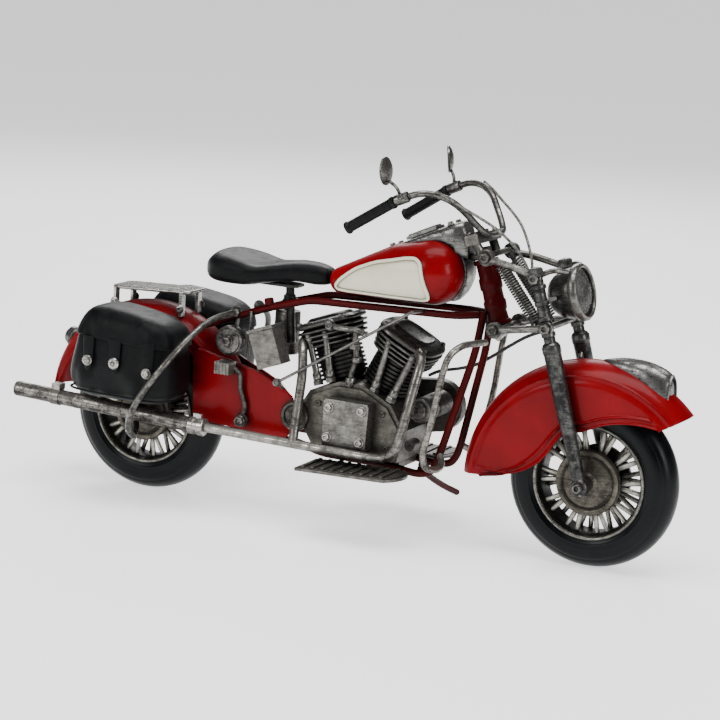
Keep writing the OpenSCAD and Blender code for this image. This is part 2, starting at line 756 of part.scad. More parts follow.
head_tube();
upper_rails();
down_tubes();
rear_stays();
seat_post();
rear_axle();
rear_fender();
side_skirts();
luggage_rack();
tail_lamp();
saddlebag_right();
saddlebag_left();
bag_studs();
bag_guards();
silencer();
exhaust_clamp();
front_header();
rear_header();
seat();
battery_box();
horn();
crankcase();
timing_cover();
primary_cover();
generator();
rear_cylinder();
front_cylinder();
rear_head();
front_head();
pushrod_tubes();
intake_pipe();
fuel_tank();
tank_inserts();
tank_console();
shift_rod();
footboards();
crash_bars();
kick_lever();
steering_yokes();
fork_legs();
fork_links();
fork_springs();
handlebar();
grips();
mirrors();
headlamp_bowl();
headlamp_rim();
headlamp_lens();
front_fender();
fender_lamp();
front_axle();
bar_cables();
brake_cable();
front_tyre();
front_rim();
front_hub();
rear_tyre();
rear_rim();
rear_hub();
side_stand();
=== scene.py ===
import bmesh
import bpy
import numpy as np
from mathutils import Matrix


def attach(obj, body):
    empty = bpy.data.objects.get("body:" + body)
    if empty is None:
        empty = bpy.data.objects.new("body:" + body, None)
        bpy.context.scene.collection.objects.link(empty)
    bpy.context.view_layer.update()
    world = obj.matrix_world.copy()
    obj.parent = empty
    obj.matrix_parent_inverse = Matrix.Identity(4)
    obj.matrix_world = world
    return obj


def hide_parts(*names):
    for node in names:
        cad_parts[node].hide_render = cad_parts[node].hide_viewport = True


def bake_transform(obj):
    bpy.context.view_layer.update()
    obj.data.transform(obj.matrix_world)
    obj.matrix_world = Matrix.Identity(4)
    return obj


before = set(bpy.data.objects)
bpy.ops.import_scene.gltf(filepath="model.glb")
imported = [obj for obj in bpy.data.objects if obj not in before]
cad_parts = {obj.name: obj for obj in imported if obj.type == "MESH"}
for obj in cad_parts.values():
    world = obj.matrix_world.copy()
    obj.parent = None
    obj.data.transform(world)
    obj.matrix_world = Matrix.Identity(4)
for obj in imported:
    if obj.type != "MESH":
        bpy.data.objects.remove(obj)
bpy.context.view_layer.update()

# ---- camera ----
# The eye stands ahead of the machine on its right, a little above the tank, and
# leans 3.4 degrees, because the real one leans on its stand.

azimuth, elevation, roll = np.radians([25.047, 11.099, 3.398])
back = np.array([np.sin(azimuth) * np.cos(elevation), -np.cos(azimuth) * np.cos(elevation), np.sin(elevation)])
level = np.array([np.cos(azimuth), np.sin(azimuth), 0.0])
upright = np.cross(back, level)
right = level * np.cos(roll) + upright * np.sin(roll)
above = upright * np.cos(roll) - level * np.sin(roll)
eye = np.array([0.546605, -1.159624, 0.339454])

camera = bpy.data.objects.new("camera", bpy.data.cameras.new("camera"))
camera.data.lens = 123.63
camera.data.sensor_width = 36
camera.data.clip_start = 0.01
pose = np.eye(4)
pose[:3] = np.stack([right, above, back, eye], axis=1)
camera.matrix_world = Matrix(pose.tolist())
bpy.context.collection.objects.link(camera)
bpy.context.scene.camera = camera

# ---- floor and light ----
# A white floor under the machine, a broad soft lamp overhead, one from the eye's
# left and a weaker one from behind on the right.

floor_mesh = bpy.data.meshes.new("floor")
floor_mesh.from_pydata([(-25, -25, 0), (25, -25, 0), (25, 25, 0), (-25, 25, 0)], [], [(0, 1, 2, 3)])
floor = bpy.data.objects.new("floor", floor_mesh)
bpy.context.collection.objects.link(floor)
floor_paint = bpy.data.materials.new("floor_paint")
floor_paint.use_nodes = True
floor_look = {"Base Color": (0.92, 0.92, 0.92, 1), "Roughness": 0.9, "Emission Color": (1, 1, 1, 1),
              "Emission Strength": 1.0}
for socket, value in floor_look.items():
    floor_paint.node_tree.nodes["Principled BSDF"].inputs[socket].default_value = value
floor_mesh.materials.append(floor_paint)


def softbox(name, place, aim, width, height, watts):
    """A rectangular lamp whose face looks from its place to its aim."""
    lamp = bpy.data.lights.new(name, "AREA")
    lamp.shape = "RECTANGLE"
    lamp.size, lamp.size_y, lamp.energy = width, height, watts
    holder = bpy.data.objects.new(name, lamp)
    ray = np.subtract(place, aim)
    ray = ray / np.linalg.norm(ray)
    side = np.cross((0, 0, 1) if abs(ray[2]) < 0.99 else (0, 1, 0), ray)
    side = side / np.linalg.norm(side)
    placed_lamp = np.eye(4)
    placed_lamp[:3] = np.stack([side, np.cross(ray, side), ray, place], axis=1)
    holder.matrix_world = Matrix(placed_lamp.tolist())
    bpy.context.collection.objects.link(holder)


softbox("top_light", (0.1, -0.15, 1.3), (0, 0, 0.1), 1.1, 0.7, 19)
softbox("eye_side_light", (-0.7, -1.3, 0.75), (0, 0, 0.1), 0.6, 0.6, 10)
softbox("front_light", (1.5, -0.5, 0.6), (0.1, 0, 0.1), 0.4, 0.8, 10)
softbox("rear_light", (-0.6, 1.2, 0.9), (0, 0, 0.1), 0.9, 0.6, 12)
world = bpy.data.worlds.new("studio")
world.use_nodes = True
world.node_tree.nodes["Background"].inputs["Color"].default_value = (1, 1, 1, 1)
world.node_tree.nodes["Background"].inputs["Strength"].default_value = 0.12
bpy.context.scene.world = world

# ---- tyres ----
# Two smooth black rubber tyres, stretched over the rims. Each has a moulded ring
# low on its sidewall and a soft shoulder where the tread ends.


class Number:
    """A socket that takes part in sums. Each operator adds the Math node that works it out."""

    def __init__(self, finish, socket):
        self.finish, self.socket = finish, socket

    def sum(self, operation, a, b):
        return self.finish.add("Math", {"operation": operation}, {0: a, 1: b})

    def __add__(self, other): return self.sum("ADD", self, other)
    def __radd__(self, other): return self.sum("ADD", other, self)
    def __sub__(self, other): return self.sum("SUBTRACT", self, other)
    def __rsub__(self, other): return self.sum("SUBTRACT", other, self)
    def __mul__(self, other): return self.sum("MULTIPLY", self, other)
    def __rmul__(self, other): return self.sum("MULTIPLY", other, self)
    def __pow__(self, other): return self.sum("POWER", self, other)

    def within(self, low, high):
        """0 at low and below, 1 at high and above, and straight between them."""
        return self.finish.add("MapRange", {"clamp": True}, {0: self, 1: low, 2: high, 3: 0.0, 4: 1.0})


class Finish:
    """One material: a Principled surface and the nodes that shape it."""

    def __init__(self, name):
        self.material = bpy.data.materials.new(name)
        self.material.use_nodes = True
        self.tree = self.material.node_tree
        self.surface = self.tree.nodes["Principled BSDF"]
        self.place = self.add("TexCoord", {}, {}, "Object")

    def add(self, kind, settings, sockets, out=0):
        """Adds a node: its settings first, then its sockets' values or links. Returns one of its outputs."""
        node = self.tree.nodes.new("ShaderNode" + kind)
        for name, value in settings.items():
            setattr(node, name, value)
        self.fill(node, sockets)
        return Number(self, node.outputs[out])

    def fill(self, node, sockets):
        for name, value in sockets.items():
            if isinstance(value, Number):
                self.tree.links.new(value.socket, node.inputs[name])
            else:
                node.inputs[name].default_value = value

    def noise(self, scale, detail=4.0, rough=0.6, place=None):
        return self.add("TexNoise", {}, {"Vector": place or self.place, "Scale": scale, "Detail": detail,
                                         "Roughness": rough}, "Fac")

    def blend(self, amount, a, b):
        return self.add("Mix", {"data_type": "RGBA"}, {0: amount, 6: a, 7: b}, 2)

    def cavity(self, reach):
        """0 on open surfaces, towards 1 in corners closer than the reach. Colours darkened by it get painted shade in
        those corners.
        """
        return 1 - self.add("AmbientOcclusion", {"samples": 8}, {"Distance": reach}, "AO")

    def underside(self):
        """0 on faces that look up or sideways, 1 on faces that look down. Colours darkened by it get painted shade on
        those faces.
        """
        normal = self.add("NewGeometry", {}, {}, "Normal")
        return self.add("SeparateXYZ", {}, {0: normal}, "Z").within(0.1, -0.75)

    def bump(self, height, depth, strength=1.0):
        return self.add("Bump", {}, {"Height": height, "Distance": depth, "Strength": strength})

    def surface_is(self, **sockets):
        self.fill(self.surface, {name.replace("_", " "): value for name, value in sockets.items()})
        return self.material


def tyre_rubber():
    """Black rubber: smears of lighter dust by noise, fine pitting and a dull shine."""
    f = Finish("tyre_rubber")
    smear = f.noise(60, 5).within(0.42, 0.75)
    pits = f.noise(1500, 2)
    dust = f.noise(500, 4).within(0.55, 0.8)
    colour = f.blend(smear * 0.7 + dust * 0.3, (0.0014, 0.0019, 0.0024, 1), (0.0045, 0.006, 0.0075, 1))
    return f.surface_is(Base_Color=colour, Roughness=0.27 + smear * 0.2, Normal=f.bump(pits, 0.0001, 0.35),
                        Specular_IOR_Level=0.13)


def grid_shape(points, wrap_u=False, wrap_v=False, cap=False):
    """Quads over a grid of points: each joins (i, j), (i+1, j), (i+1, j+1) and (i, j+1), round the end where it wraps."""
    nu, nv = points.shape[:2]
    i, j = np.meshgrid(np.arange(nu if wrap_u else nu - 1), np.arange(nv if wrap_v else nv - 1), indexing="ij")
    ni, nj = (i + 1) % nu, (j + 1) % nv
    quads = np.stack([i * nv + j, ni * nv + j, ni * nv + nj, i * nv + nj], axis=-1).reshape(-1, 4).tolist()
    if cap:
        quads += [list(range(nv)), list(range((nu - 1) * nv, nu * nv))]
    return points.reshape(-1, 3), quads


def aimed(points, start, along, across=(0, 1, 0)):
    """Carries local Z onto a direction: start + x u + y v + z t, with t along, v = t x across and u = v x t."""
    t = np.asarray(along, float) / np.linalg.norm(along)
    v = np.cross(t, across)
    v = v / np.linalg.norm(v)
    u = np.cross(v, t)
    return np.asarray(start, float) + points[..., :1] * u + points[..., 1:2] * v + points[..., 2:] * t


def turned(profile, start, along, sides=64, ring=False, across=(1, 0, 0.01)):
    """A profile of (radius, height) carried round an axis: x = r cos a, y = r sin a, z = h for a from 0 to 360."""
    profile = np.asarray(profile, float)
    a = np.linspace(0, 2 * np.pi, sides, endpoint=False)
    r, h = profile[:, :1], profile[:, 1:]
    points = np.stack([r * np.cos(a), r * np.sin(a), h + 0 * a], axis=-1)
    return grid_shape(aimed(points, start, along, across), wrap_u=ring, wrap_v=True)


rear_axle_to_middle = (120.3, 0, 0)


def make(name, shapes, material, body, stands_for=(), bevel=0.0, sharp=35.0, levels=0, wall=0.0):
    """Puts shapes, in millimetres from the rear axle line, into one mesh in metres from the middle of the machine."""
    points, faces, base = [], [], 0
    for p, f in shapes:
        points.append(p)
        faces += [[k + base for k in face] for face in f]
        base += len(p)
    place = (np.concatenate(points) - rear_axle_to_middle) / 1000
    mesh = bpy.data.meshes.new(name)
    mesh.from_pydata(place.tolist(), [], faces)
    work = bmesh.new()
    work.from_mesh(mesh)
    bmesh.ops.remove_doubles(work, verts=work.verts, dist=2e-6)
    bmesh.ops.dissolve_degenerate(work, edges=work.edges, dist=1e-6)
    bmesh.ops.recalc_face_normals(work, faces=work.faces)
    work.to_mesh(mesh)
    work.free()
    mesh.polygons.foreach_set("use_smooth", np.ones(len(mesh.polygons), bool))
    mesh.set_sharp_from_angle(angle=np.radians(sharp))
    mesh.materials.append(material)
    piece = bpy.data.objects.new(name, mesh)
    bpy.context.collection.objects.link(piece)
    if wall:
        skin = piece.modifiers.new("wall", "SOLIDIFY")
        skin.thickness, skin.offset = wall / 1000, -1
    if bevel:
        edge = piece.modifiers.new("edge", "BEVEL")
        edge.width, edge.segments, edge.limit_method = bevel / 1000, 2, "ANGLE"
        edge.angle_limit, edge.harden_normals = np.radians(38), True
    if levels:
        soft = piece.modifiers.new("soft", "SUBSURF")
        soft.levels = soft.render_levels = levels
    if body:
        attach(piece, body)
    if stands_for:
        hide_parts(*stands_for)
    return piece


def tyre_shape(axle):
    """Circle of radius 10 round r = 35, its sidewalls raised 0.28 in a ring at 104 degrees and sunk at the shoulder."""
    lap = np.radians(np.linspace(-121, 121, 111))
    size = np.degrees(np.abs(lap))
    radius = 10 + 0.28 * np.exp(-((size - 105) / 2.8) ** 2) - 0.22 * np.exp(-((size - 58) / 5) ** 2)
    r, y = 35 + radius * np.cos(lap), radius * np.sin(lap)
    profile = np.concatenate([np.stack([r, y], 1), [(29.3, 8.3), (29.3, 0), (29.3, -8.3)]])
    return turned(profile, (axle, 0, 45), (0, 1, 0), 128, ring=True)


rubber = tyre_rubber()
wheels = {"front": 260.0, "rear": 0.0}
for wheel, axle in wheels.items():
    make(wheel + "_tyre_moulded", [tyre_shape(axle)], rubber, wheel + "_wheel", [wheel + "_tyre"], sharp=60)

# ---- rims and spokes ----
# Rolled steel rims with a bright rounded lip. Ten V pairs of thick spokes stand in
# each face, between the sleeve on the hub and the well of the rim.


def aged_metal(name, dark, light, patchy=0.5, rough=0.34, shade_and_patina=1.6, scale=1.0):
    """Antiqued silver: two sizes of noise share out the dark patina. Ambient occlusion paints shade into the corners
    and the gaps between parts, standing also for patina in the hollows, and painted shade darkens faces that look down.
    The cleaner the spot, the brighter and the smoother it is."""
    f = Finish(name)
    cloud = f.noise(230 * scale, 6, 0.68)
    speck = f.noise(1100 * scale, 3, 0.7)
    drag = f.noise(420 * scale, 2, 0.5, f.add("Mapping", {}, {"Vector": f.place, "Scale": (0.25, 1.0, 3.0)}))
    # Painted shade: ambient occlusion darkens corners and gaps between parts within 5 mm, standing also for patina in
    # the hollows.
    corner = (f.cavity(0.005) * shade_and_patina).within(0.05, 1.0)
    dirt = cloud.within(0.38, 0.64) * patchy + speck.within(0.46, 0.70) * 0.32 + drag.within(0.44, 0.68) * 0.35
    # Painted shade: faces that look down are darkened and made less metallic.
    underside_shade = f.underside()
    stain_and_shade = (corner + dirt * (1 - corner) + underside_shade * 0.55).within(0.0, 1.0)
    rubbed = f.add("NewGeometry", {}, {}, "Pointiness").within(0.53, 0.66) * (1 - corner)
    tone_mix = f.blend(stain_and_shade, light + (1,), dark + (1,))
    colour = f.blend(rubbed * (0.9 - cloud * 0.6), tone_mix, tuple(min(1.0, c * 3.0) for c in light) + (1,))
    height = cloud * 0.6 + speck * 0.4
    return f.surface_is(Base_Color=colour, Metallic=0.95 - stain_and_shade * 0.30,
                        Roughness=rough - 0.13 + stain_and_shade * 0.25 - rubbed * 0.04,
                        Normal=f.bump(height, 0.00035, 0.38))


def other_side(shapes):
    """The same shapes with y turned over."""
    return [(p * (1, -1, 1), f) for p, f in shapes]


def both_sides(shapes):
    return list(shapes) + other_side(shapes)


def bars(starts, ends, wide, thick, sides=8):
    """Straight bars, each an ellipse carried from its start to its end: p = start + (end - start) s + wide u cos a + thick v sin a."""
    starts, ends = np.asarray(starts, float), np.asarray(ends, float)
    t = ends - starts
    t = t / np.linalg.norm(t, axis=1, keepdims=True)
    v = np.cross(t, np.cross((0, 1, 0), t))
    v = v / np.linalg.norm(v, axis=1, keepdims=True)
    u = np.cross(t, v)
    a = np.linspace(0, 2 * np.pi, sides, endpoint=False)
    loop = wide * np.cos(a)[:, None] * u[:, None] + thick * np.sin(a)[:, None] * v[:, None]
    rings = np.stack([starts[:, None] + loop, ends[:, None] + loop], axis=1)
    return [grid_shape(one, wrap_v=True, cap=True) for one in rings]


silver = aged_metal("antique_silver", (0.0066, 0.006, 0.0055), (0.205, 0.197, 0.18), patchy=0.65)
# Painted shade inside the wheel: the spokes get stronger corner darkening, and the rim's well and the hub sleeve are
# painted near black.
spoke_silver = aged_metal("spoke_silver", (0.0044, 0.0039, 0.0033), (0.211, 0.205, 0.18), patchy=0.75, shade_and_patina=1.9)
rim_well_painted_shade = aged_metal("rim_well_painted_shade", (0.0022, 0.0022, 0.0019), (0.03, 0.028, 0.024), patchy=0.8, rough=0.45, shade_and_patina=2.2)
lip = [(29.9, 7.7), (30.15, 8.5), (29.9, 9.1), (29.3, 9.45), (28.6, 9.3), (28.15, 8.7), (27.9, 7.9), (27.2, 6.6),
       (26.7, 5.4), (26.6, 4)]
rim_profile = [(29.6, 7.6)] + lip[5:] + [(r, -y) for r, y in lip[:4:-1]] + [(29.6, -7.6)]
lip_profile = lip[:7] + [(28.4, 7.6)]
pair = np.arange(10) * 36.0
for wheel, axle in wheels.items():
    well = [turned(rim_profile, (axle, 0, 45), (0, 1, 0), 128, ring=True),
            turned([(11, -6), (13, -5.6), (13, 5.6), (11, 6)], (axle, 0, 45), (0, 1, 0), 48, ring=True)]
    make(wheel + "_rim_well", well, rim_well_painted_shade, wheel + "_wheel", sharp=50)
    lips = turned(lip_profile, (axle, 0, 45), (0, 1, 0), 128, ring=True)
    shapes = both_sides([lips])
    for face in (-1, 1):
        for lean in (-1, 1):
            first = np.radians(pair + 9 * (face + 1) / 2 + lean * 1.8)
            last = np.radians(pair + 9 * (face + 1) / 2 + lean * 6.2)
            starts = np.stack([axle + 12 * np.cos(first), 0 * first + face * 5.0, 45 + 12 * np.sin(first)], 1)
            ends = np.stack([axle + 27.4 * np.cos(last), 0 * last + face * 4.4, 45 + 27.4 * np.sin(last)], 1)
            shapes += bars(starts, ends, 1.35, 1.0)
    make(wheel + "_rim_rolled", shapes, spoke_silver, wheel + "_wheel", [wheel + "_rim"], sharp=50)

# ---- hubs ----
# Cast drums on both ends of a barrel, with a raised edge, a shallow dish and a
# boss round the axle. They are bored through for it.

drum_metal = aged_metal("drum_metal", (0.011, 0.0088, 0.0066), (0.116, 0.105, 0.085), patchy=0.6, rough=0.42,
                        shade_and_patina=1.4)
half_hub = [(2.06, 13.4), (4.7, 13.5), (5.5, 13.0), (6.1, 12.3), (11.2, 10.9), (12.4, 10.6), (12.9, 10.0),
            (13.5, 9.8),
            (13.9, 10.2), (14.5, 10.6), (15.8, 10.7), (16.6, 10.4), (17.0, 9.7), (17.0, 7.5), (16.5, 7.0),
            (11.0, 6.9)]
hub_profile = half_hub + [(r, -y) for r, y in half_hub[::-1]]
for wheel, axle in wheels.items():
    make(wheel + "_hub_cast", [turned(hub_profile, (axle, 0, 45), (0, 1, 0), 96, ring=True)],
         drum_metal, wheel + "_wheel", [wheel + "_hub"], sharp=32)

# ---- axles and their nuts ----
# Plain steel pins through both hubs, each closed by a hexagonal nut and washer on
# either end, outside the stay plates and outside the fork legs.


def nut(place, along, size, depth, washer=1.35):
    """A washer, a hexagon nut and the end of the bolt, all turned round one axis; the nut has six sides."""
    r = size / 2
    rim = size * washer / 2
    wash = turned([(0, 0), (rim, 0), (rim, depth * 0.22), (rim - 0.25, depth * 0.32), (0, depth * 0.32)], place,
                  along, 24)
    hexa = turned([(0, depth * 0.3), (r, depth * 0.3), (r, depth * 0.86), (r * 0.86, depth), (r * 0.52, depth),
                   (r * 0.46, depth * 0.78),
                   (0, depth * 0.78)], place, along, 6)
    return [wash, hexa]


for wheel, half, body, at in (("rear", 20.5, "frame", 18.1), ("front", 25.0, "fork", 23.9)):
    x = wheels[wheel]
    shapes = [turned([(0, -half), (1.7, -half), (2, -half + 0.4), (2, half - 0.4), (1.7, half), (0, half)],
                     (x, 0, 45), (0, 1, 0), 32)]
    for s in (-1, 1):
        if wheel == "rear":
            shapes += nut((x, s * at, 45), (0, s, 0), 7.6, 2.6, 1.25)
        else:
            shapes.append(turned([(0, 0), (2.6, 0), (2.6, 1.3), (2.4, 1.6), (2.2, 2.2), (1.3, 2.2), (1.2, 0.7),
                                  (0, 0.6)], (x, s * at, 45), (0, s, 0), 32))
    make(wheel + "_axle_and_nuts", shapes, silver, body, [wheel + "_axle"], bevel=0.12)

# ---- steering head ----
# A thick dark red tube at the top of the frame, lumpy with solder, with a cup at
# each end. The fork's stem turns in it.


def enamel(name, deep, bright, stained_and_shaded, rough=0.36, coat=0.13, wear=1.0):
    """Aged enamel: broad noise moves it between two reds, and dark stain gathers in rubbed patches. Ambient occlusion
    paints shade into corners and near other parts, standing also for dirt there, and painted shade darkens faces that
    look down.
    """
    f = Finish(name)
    broad = f.noise(28, 3, 0.55).within(0.35, 0.68)
    patch = f.noise(75, 6, 0.7).within(0.52, 0.78)
    fine = f.noise(900, 3, 0.6)
    # Painted shade: ambient occlusion darkens corners and parts closer than 14 mm, standing also for dirt there; faces
    # that look down are darkened too.
    corner = (f.cavity(0.014) * 1.7 * wear).within(0.12, 1.0)
    stain_and_shade = (corner * 0.85 + patch * 0.35 * wear * (0.3 + corner) + f.underside() * 0.35).within(0.0, 1.0)
    base = f.blend(broad, deep + (1,), bright + (1,))
    colour = f.blend(stain_and_shade, base, stained_and_shaded + (1,))
    height = f.noise(45, 3, 0.5) * 0.75 + fine * 0.08
    return f.surface_is(Base_Color=colour, Roughness=rough + stain_and_shade * 0.3 + fine * 0.06,
                        Normal=f.bump(height, 0.0006, 0.35),
                        Coat_Weight=coat, Coat_Roughness=0.14, Specular_IOR_Level=0.05)


red_enamel = enamel("red_enamel", (0.16, 0.0005, 0.0030), (0.245, 0.0008, 0.0045), (0.014, 0.0004, 0.0006))
dark_red = enamel("dark_red_paint", (0.022, 0.0008, 0.001), (0.07, 0.002, 0.0024), (0.003, 0.0006, 0.0006),
                  rough=0.40, coat=0.04)
rake = np.radians(17)
head = np.array([197.5, 0, 134])
stem = (-np.sin(rake), 0, np.cos(rake))
head_profile = [(3.1, -17), (6.4, -17), (6.7, -16), (6.4, -14.9), (5.6, -14.5), (5.2, -10), (5.8, -9), (5.9, -5),
                (5.3, -4), (5.2, 1),
                (5.9, 2), (5.9, 7), (5.3, 8), (5.5, 14.4), (6.4, 14.9), (6.7, 16), (6.4, 17), (3.1, 17)]
make("steering_head", [turned(head_profile, head, stem, 48, ring=True)], dark_red, "frame",
     ["head_tube"], sharp=45)

# ---- frame tubes ----
# Round steel tube bent cold and painted dark red: the two upper rails, the two down
# tubes that run on as the lower rails, and the stays to the rear axle plates.


def bent(points, radius=8.0, steps=9):
    """A route with its corners eased: (1-s)^2 a + 2 s (1-s) p + s^2 b round each corner p, from a before it to b after it."""
    p = np.asarray(points, float)
    step = np.diff(p, axis=0)
    size = np.linalg.norm(step, axis=1, keepdims=True)
    t = step / size
    cut = np.minimum(radius, 0.499 * np.minimum(size[:-1], size[1:]))
    s = np.linspace(0, 1, steps)[None, :, None]
    a, b, c = p[1:-1] - t[:-1] * cut, p[1:-1] + t[1:] * cut, p[1:-1]
    arcs = (1 - s) ** 2 * a[:, None] + 2 * s * (1 - s) * c[:, None] + s ** 2 * b[:, None]
    return np.concatenate([p[:1], arcs.reshape(-1, p.shape[1]), p[-1:]])


def tube(path, radius, across=(0, 1, 0), sides=16, close=False):
    """A circle carried along a route: p + r (u cos a + v sin a), with u = heading x across and v = heading x u.
    Its ends draw in to a point, so that it is closed."""
    p = np.asarray(path, float)
    if close:
        heading = np.roll(p, -1, axis=0) - np.roll(p, 1, axis=0)
    else:
        heading = np.gradient(p, axis=0)
    t = heading / np.linalg.norm(heading, axis=1, keepdims=True)
    r = np.broadcast_to(radius, len(p)).astype(float)
    if not close:
        p = np.concatenate([p[:1], p[:1], p[:1] + t[:1] * 0.15 * r[0], p[1:-1], p[-1:] - t[-1:] * 0.15 * r[-1],
                            p[-1:], p[-1:]])
        r = np.concatenate([[0, r[0] * 0.84, r[0]], r[1:-1], [r[-1], r[-1] * 0.84, 0]])
        t = np.concatenate([t[:1], t[:1], t[:1], t[1:-1], t[-1:], t[-1:], t[-1:]])
    u = np.cross(t, across)
    u = u / np.linalg.norm(u, axis=1, keepdims=True)
    v = np.cross(t, u)
    a = np.linspace(0, 2 * np.pi, sides, endpoint=False)
    ring = u[:, None] * np.cos(a)[:, None] + v[:, None] * np.sin(a)[:, None]
    return grid_shape(p[:, None] + r[:, None, None] * ring, wrap_u=close, wrap_v=True)


def slab(outline, low, high):
    """An outline of (a, b) points given a thickness along the third direction, from low to high."""
    outline = np.asarray(outline, float)
    ring = np.concatenate([outline, np.zeros((len(outline), 1))], axis=1)
    levels = np.array([low, high], float)
    points = ring[None] + np.stack([0 * levels, 0 * levels, levels], 1)[:, None]
    return grid_shape(points, wrap_v=True, cap=True)


def side_view(shape):
    """Local (a, b, c) read as (x, z, y), for a slab whose outline is a side view."""
    return shape[0][:, [0, 2, 1]], shape[1]


def moved(shape, origin, lean=0.0, tilt=0.0):
    """Turns a shape about y by lean, then about x by tilt, and puts it at its origin."""
    c, s = np.cos(np.radians(lean)), np.sin(np.radians(lean))
    k, q = np.cos(np.radians(tilt)), np.sin(np.radians(tilt))
    p = shape[0] @ np.array([[c, 0, s], [0, 1, 0], [-s, 0, c]]).T @ np.array([[1, 0, 0], [0, k, -q], [0, q, k]]).T
    return p + origin, shape[1]


upper = bent([(36, 12, 97), (74, 12, 111), (78, 12, 112.4), (98, 12, 118.2), (103, 12, 118.8), (176, 12, 121),
              (184, 11, 121.3), (193, 5, 122)])
lug = turned([(0, 0), (2.2, 0), (2.5, 0.5), (2.5, 3.2), (1.9, 3.8), (0, 3.8)], (76, 12, 113.2), (-0.2, 0, 1), 24)
cross_tube = tube([(39, -12, 98.2), (39, 12, 98.2)], 1.8, across=(1, 0, 0))
make("upper_frame_rails", both_sides([tube(upper, 2.0), lug]) + [cross_tube], dark_red, "frame",
     ["upper_rails"])
lower = bent([(195.3, 4.6, 123.9), (194.4, 6.2, 113), (193, 7.2, 102), (180.4, 13.4, 50), (178, 14, 42),
              (175, 14, 37.6), (168, 14, 36),
              (150, 14, 38.2), (112, 14, 38.6), (98, 14, 42.6), (66, 14, 43)], 6)
tilt = np.radians(26)
pin = (0, np.sin(tilt), np.cos(tilt))
stand_at = np.array([158, 17, 32.6])
stand_lug = [turned([(0, -0.7), (2.7, -0.7), (3, -0.4), (3, 3.2), (2.7, 3.5), (0, 3.5)], stand_at, pin, 32),
             turned([(0, -4.5), (1, -4.5), (1, 0), (0, 0)], stand_at, pin, 20),
             turned([(0, -5.4), (1.9, -5.4), (1.9, -4.4), (0, -4.4)], stand_at, pin, 6)]
make("down_tubes_and_lower_rails", both_sides([tube(lower, 2.0)]) + stand_lug, dark_red, "frame",
     ["down_tubes"])
a = np.radians(np.linspace(60, 300, 25))
eye_plate = np.concatenate([np.stack([5.5 * np.cos(a), 45 + 5.5 * np.sin(a)], 1),
                            [(12, 39.4), (13.5, 41.4), (13.5, 44.8), (12, 45.6)]])
stays = [tube([(68, 15.4, 43.4), (6, 15.8, 43.6)], 1.5), side_view(slab(eye_plate, 14.5, 16.7))]
make("rear_axle_stays", both_sides(stays), dark_red, "frame", ["rear_stays"], bevel=0.25)

# ---- seat post ----
# A dark steel post with a sliding collar and a cross clamp on the upper rails. It
# carries the saddle on a flat strap.


dark_metal = aged_metal("dark_metal", (0.0028, 0.0028, 0.0025), (0.06, 0.058, 0.053), patchy=0.8, rough=0.42,
                        shade_and_patina=1.9)
post = [tube([(81.4, 0, 124.4), (84, 0, 92)], 2.3),
        turned([(0, 0), (3.6, 0), (4.2, 0.5), (4.2, 2.6), (3.4, 3.4), (3.2, 5.4), (0, 5.4)], (82, 0, 112.6),
               (-0.08, 0, 1), 32),
        moved(slab([(-3.5, -13), (3.5, -13), (3.5, 13), (-3.5, 13)], -1.2, 1.2), (81.8, 0, 113.4)),
        moved(slab([(-22, -4), (-18, -6), (18, -6), (22, -4), (22, 4), (18, 6), (-18, 6), (-22, 4)], -0.8, 0.8),
              (66, 0, 123.4)),
]
make("seat_post_and_collar", post, dark_metal, "frame", ["seat_post"], bevel=0.2)

# ---- fenders ----
# Pressed sheet steel in red enamel, one wall 1 mm thick: an arched crown between two
# flat sides. A bead is rolled in near the lower edge and where the side meets the crown.


def curve_through(x, knots):
    """A smooth curve through knots: cubic pieces whose slope at each knot is the mean slope of its two sides."""
    k = np.asarray(knots, float)
    kx, ky = k[:, 0], k[:, 1]
    slope = np.diff(ky) / np.diff(kx)
    m = np.concatenate([slope[:1], (slope[:-1] + slope[1:]) / 2, slope[-1:]])
    i = np.clip(np.searchsorted(kx, x) - 1, 0, len(kx) - 2)
    w = kx[i + 1] - kx[i]
    s = np.clip((x - kx[i]) / w, 0, 1)
    return ((2 * s ** 3 - 3 * s ** 2 + 1) * ky[i] + (s ** 3 - 2 * s ** 2 + s) * w * m[i]
            + (3 * s ** 2 - 2 * s ** 3) * ky[i + 1] + (s ** 3 - s ** 2) * w * m[i + 1])


